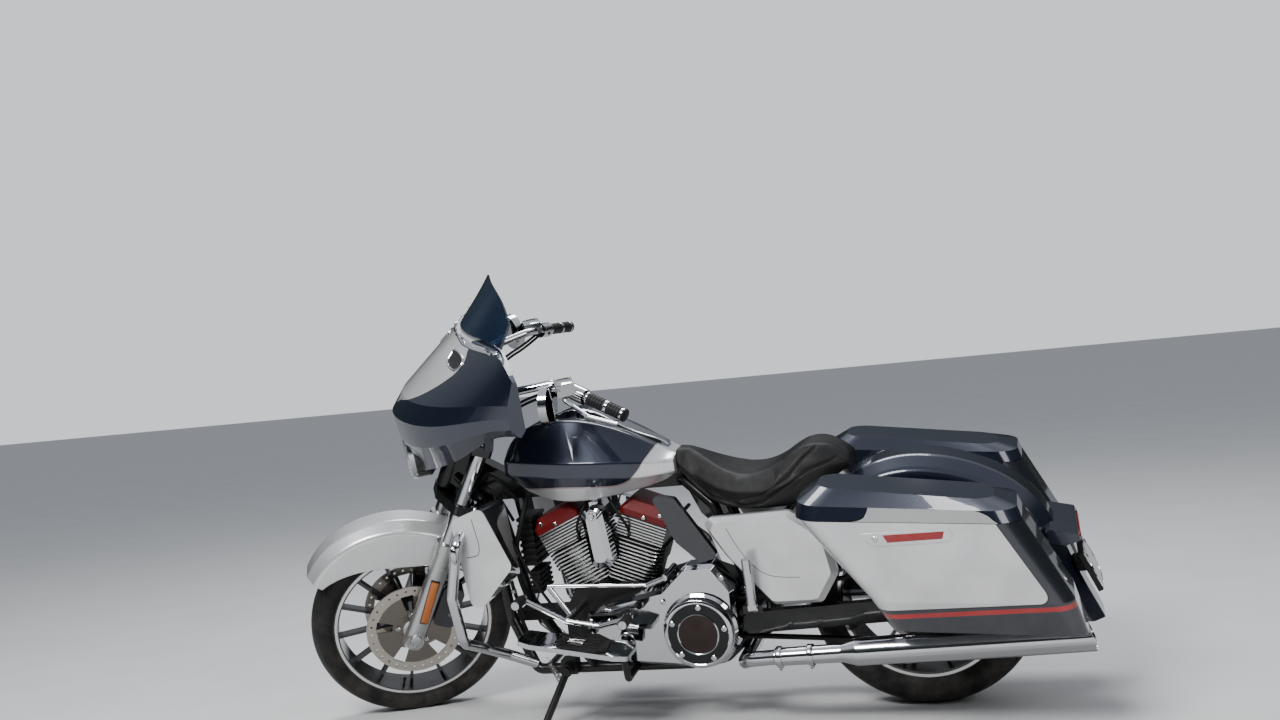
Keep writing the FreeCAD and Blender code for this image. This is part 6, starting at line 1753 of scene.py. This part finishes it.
class CRUISER_OT_dash(bpy.types.Operator):
    """Round dials with ticks and needles, a dark display and the mirror glasses"""
    bl_idname = "cruiser.dash"
    bl_label = "Dials and mirrors"
    bl_options = {"REGISTER", "UNDO"}

    def execute(self, context):
        rings, faces, marks = [], [], []
        for y, z, radius in DIALS:
            at = surface("inner_fairing", (0.9, y, z), (1, 0, 0), FORK)[0]
            back = (-1, 0, 0)
            rings.append(turned([(radius - 0.004, 0.0), (radius + 0.001, 0.0),
                                 (radius + 0.001, 0.002), (radius - 0.001, 0.0048),
                                 (radius - 0.003, 0.0042), (radius - 0.004, 0.0)], at, back, 56))
            faces.append(turned([(0.0001, 0.0016), (0.005, 0.0016), (0.006, 0.0008),
                                 (radius - 0.004, 0.0008), (radius - 0.004, -0.0004),
                                 (0.0001, -0.0004)], at, back, 56))
            for tick in range(DIAL_TICKS):
                angle = math.radians(DIAL_START - tick * DIAL_STEP)
                way = Vector((0, -math.cos(angle), math.sin(angle)))
                long = 0.18 if tick % 5 == 0 else 0.10
                spot = at + way * radius * (0.84 - long / 2) + Vector((-0.0011, 0, 0))
                marks.append((spot, way, radius * long))
            needle = Vector((0, -math.cos(NEEDLE_ANGLE), math.sin(NEEDLE_ANGLE)))
            marks.append((at + needle * radius * 0.32 + Vector((-0.0016, 0, 0)), needle,
                          radius * 0.72))
        finish_piece(joined(rings), "dial_rings", "front_end", "chrome_front")
        finish_piece(joined(faces), "dial_faces", "front_end", "gloss_front")
        clear_selection()
        bpy.ops.mesh.primitive_cylinder_add(vertices=4, radius=0.0006, depth=1.0)
        mark = bpy.context.object
        bars = repeated(mark, [towards(spot, way) @ Matrix.Diagonal((1, 1, length, 1))
                               for spot, way, length in marks])
        finish_piece(bars, "dial_marks", "front_end", "mark_white")
        display = [(1.20, 0.070, 1.102), (1.20, -0.070, 1.102), (1.20, -0.070, 1.046),
                   (1.20, 0.070, 1.046)]
        display = patch("inner_fairing", display, "-X", 0.0022, FORK, 2, 0.001)
        finish_piece(display, "dash_display", "front_end", "gloss_front")
        at = surface("mirrors", (0.9, 0.375, 1.078), (1, 0, 0), FORK)[0]
        glass = turned([(0.0001, 0.0012), (0.049, 0.0012), (0.051, 0.0004), (0.051, -0.001),
                        (0.0001, -0.001)], (at.x, 0.367, 1.078), (-1, 0, 0), 56)
        finish_piece(both_sides(glass), "mirror_glass", "front_end", "mirror")
        return {"FINISHED"}


class CRUISER_OT_stand(bpy.types.Operator):
    """Return spring and pivot bolt of the side stand"""
    bl_idname = "cruiser.stand"
    bl_label = "Side stand fittings"
    bl_options = {"REGISTER", "UNDO"}

    def execute(self, context):
        low, high = Vector((1.064, 0.196, 0.150)), Vector((1.130, 0.128, 0.214))
        along = (high - low).normalized()
        side = along.orthogonal().normalized()
        other = along.cross(side)
        turns = 11
        points = [low - along * 0.006]
        for step in range(turns * 8 + 1):
            angle = math.tau * step / 8
            share = step / (turns * 8)
            points.append(low + (high - low) * (0.12 + 0.76 * share)
                          + (side * math.cos(angle) + other * math.sin(angle)) * 0.0078)
        points.append(high + along * 0.004)
        finish_piece(hose(points, 0.0014, 2, 2), "stand_spring", "side_stand", "steel")
        return {"FINISHED"}


class CRUISER_OT_paint(bpy.types.Operator):
    """Give every part its paint, chrome, rubber or plastic"""
    bl_idname = "cruiser.paint"
    bl_label = "Paint and finish"
    bl_options = {"REGISTER", "UNDO"}

    def execute(self, context):
        make_groups()
        make_finishes(context.scene.cruiser_paint)
        dress_nodes()
        return {"FINISHED"}


class CRUISER_OT_stage(bpy.types.Operator):
    """Set the pale floor, the soft studio light and the camera"""
    bl_idname = "cruiser.stage"
    bl_label = "Studio"
    bl_options = {"REGISTER", "UNDO"}

    def execute(self, context):
        scene = context.scene
        stage = scene.cruiser_stage
        clear_selection()
        bpy.ops.mesh.primitive_plane_add(size=stage.floor_size, location=(0, 0, -0.0005))
        floor = context.object
        floor.name = "floor"
        finish = Finish("Pale floor")
        patches = finish.noise(finish.vector, 3.0, 5.0)
        specks = finish.noise(finish.vector, 220.0, 2.0)
        tone = finish.maths("ADD", finish.span(patches, 0.3, 0.7, 0.62, 0.66),
                            finish.span(specks, 0.3, 0.7, -0.01, 0.01))
        finish.set(Base_Color=finish.add("ShaderNodeCombineColor",
                                         {0: tone, 1: tone, 2: tone}).outputs[0],
                   Roughness=0.8, Normal=finish.bump(specks, 0.2, 0.001))
        floor.data.materials.append(finish.material)
        self.light(context, stage)
        self.camera(context)
        return {"FINISHED"}

    def light(self, context, stage):
        """A bright sky dome with a darker horizon, and three large soft lamps."""
        world = bpy.data.worlds.new("Studio sky")
        world.use_nodes = True
        context.scene.world = world
        board = Board(world.node_tree)
        back = world.node_tree.nodes["Background"]
        ray = board.add("ShaderNodeTexCoord").outputs["Generated"]
        height = board.parts(ray)[2]
        ramp = board.add("ShaderNodeValToRGB", {0: board.span(height, -1.0, 1.0)})
        stops = [(0.0, (0.42, 0.40, 0.38, 1)), (0.485, (0.36, 0.35, 0.34, 1)),
                 (0.497, (0.045, 0.05, 0.045, 1)), (0.60, (0.055, 0.065, 0.06, 1)),
                 (0.70, (0.13, 0.15, 0.17, 1)), (0.80, (0.95, 1.0, 1.08, 1)),
                 (1.0, (0.95, 1.02, 1.15, 1))]
        points = ramp.color_ramp.elements
        while len(points) < len(stops):
            points.new(0.5)
        for point, (share, colour) in zip(points, stops):
            point.position = share
            point.color = colour
        seen = board.add("ShaderNodeLightPath").outputs["Is Camera Ray"]
        colour = board.mix(seen, ramp.outputs[0], (1.7, 1.75, 1.8, 1))
        world.node_tree.links.new(colour, back.inputs["Color"])
        back.inputs["Strength"].default_value = stage.sky_strength
        lamps = [("key", (1.2, 4.2, 4.4), 2.6, stage.lamp_power),
                 ("fill", (-4.0, 3.0, 2.6), 2.4, stage.lamp_power * 0.22),
                 ("rim", (0.3, -2.2, 5.4), 3.0, stage.lamp_power * 0.6)]
        for name, at, size, power in lamps:
            clear_selection()
            bpy.ops.object.light_add(type="AREA", location=at)
            lamp = context.object
            lamp.name = name + "_light"
            lamp.rotation_euler = (Vector((0, 0, 0.5)) - Vector(at)).to_track_quat(
                "-Z", "Y").to_euler()
            lamp.data.shape = "RECTANGLE"
            lamp.data.size = size
            lamp.data.size_y = size * 0.6
            lamp.data.energy = power

    def camera(self, context):
        """The photograph's own viewpoint."""
        forward, right, up = Vector((0, -1, 0)), Vector((-1, 0, 0)), Vector((0, 0, 1))
        turn = Matrix.Rotation(CAMERA_TURN, 3, "Z")
        forward, right = turn @ forward, turn @ right
        turn = Matrix.Rotation(CAMERA_PITCH, 3, right)
        forward, up = turn @ forward, turn @ up
        turn = Matrix.Rotation(CAMERA_ROLL, 3, forward)
        right, up = turn @ right, turn @ up
        clear_selection()
        bpy.ops.object.camera_add(location=REAR_HUB + CAMERA_FROM_HUB)
        camera = context.object
        camera.rotation_euler = Matrix((right, up, -forward)).transposed().to_euler()
        camera.data.lens = SENSOR_WIDTH * FOCAL_LENGTH / PHOTO_WIDTH
        camera.data.sensor_width = SENSOR_WIDTH
        context.scene.camera = camera


class CruiserPaint(bpy.types.PropertyGroup):
    navy: FloatVectorProperty(name="Dark blue", description="Upper body colour",
                              subtype="COLOR", size=3, min=0, max=1,
                              default=(0.006, 0.011, 0.028))
    charcoal: FloatVectorProperty(name="Charcoal", description="Band round the bags",
                                  subtype="COLOR", size=3, min=0, max=1,
                                  default=(0.018, 0.020, 0.028))
    silver: FloatVectorProperty(name="Silver", description="Lower body colour",
                                subtype="COLOR", size=3, min=0, max=1,
                                default=(0.66, 0.66, 0.66))
    red: FloatVectorProperty(name="Red", description="Stripes and rocker covers",
                             subtype="COLOR", size=3, min=0, max=1,
                             default=(0.40, 0.006, 0.008))


class CruiserSizes(bpy.types.PropertyGroup):
    groove_sweep: FloatProperty(name="Groove sweep", description="How far a tread groove slants",
                                subtype="ANGLE", default=0.42)
    seat_voxel: FloatProperty(name="Seat cell", description="Size of the seat's cloth cells",
                              unit="LENGTH", default=0.006)
    seat_swell: FloatProperty(name="Seat swell", description="The most the padding swells",
                              unit="LENGTH", default=0.010)


class CruiserStage(bpy.types.PropertyGroup):
    floor_size: FloatProperty(name="Floor size", description="Edge of the floor",
                              default=200.0, unit="LENGTH")
    sky_strength: FloatProperty(name="Sky", description="Strength of the sky dome",
                                default=0.55)
    lamp_power: FloatProperty(name="Lamp power", description="Power of the main lamp",
                              default=320.0)


class CRUISER_PT_panel(bpy.types.Panel):
    bl_idname = "CRUISER_PT_panel"
    bl_label = "Cruiser"
    bl_space_type = "VIEW_3D"
    bl_region_type = "UI"
    bl_category = "Cruiser"

    def draw(self, context):
        layout = self.layout
        scene = context.scene
        for group in (scene.cruiser_paint, scene.cruiser_sizes, scene.cruiser_stage):
            box = layout.box()
            for name in group.bl_rna.properties.keys():
                if name not in ("rna_type", "name"):
                    box.prop(group, name)
        for operator in OPERATORS:
            layout.operator(operator.bl_idname)


OPERATORS = [CRUISER_OT_paint, CRUISER_OT_tyres, CRUISER_OT_seat, CRUISER_OT_headlamp,
             CRUISER_OT_fairing, CRUISER_OT_primary, CRUISER_OT_grips, CRUISER_OT_wheels,
             CRUISER_OT_fork, CRUISER_OT_cables, CRUISER_OT_engine, CRUISER_OT_bags,
             CRUISER_OT_boards, CRUISER_OT_shields, CRUISER_OT_exhaust, CRUISER_OT_tail,
             CRUISER_OT_dash, CRUISER_OT_stand, CRUISER_OT_stage]
GROUP_CLASSES = {"cruiser_paint": CruiserPaint, "cruiser_sizes": CruiserSizes,
                 "cruiser_stage": CruiserStage}


def register():
    for name, group in GROUP_CLASSES.items():
        bpy.utils.register_class(group)
        setattr(bpy.types.Scene, name, PointerProperty(type=group))
    for operator in OPERATORS:
        bpy.utils.register_class(operator)
    bpy.utils.register_class(CRUISER_PT_panel)


def unregister():
    bpy.utils.unregister_class(CRUISER_PT_panel)
    for operator in reversed(OPERATORS):
        bpy.utils.unregister_class(operator)
    for name, group in GROUP_CLASSES.items():
        delattr(bpy.types.Scene, name)
        bpy.utils.unregister_class(group)


def main():
    """Runs every operator in order."""
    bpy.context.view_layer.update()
    register()
    for operator in OPERATORS:
        group, name = operator.bl_idname.split(".")
        getattr(getattr(bpy.ops, group), name)()


if __name__ == "__main__":
    main()
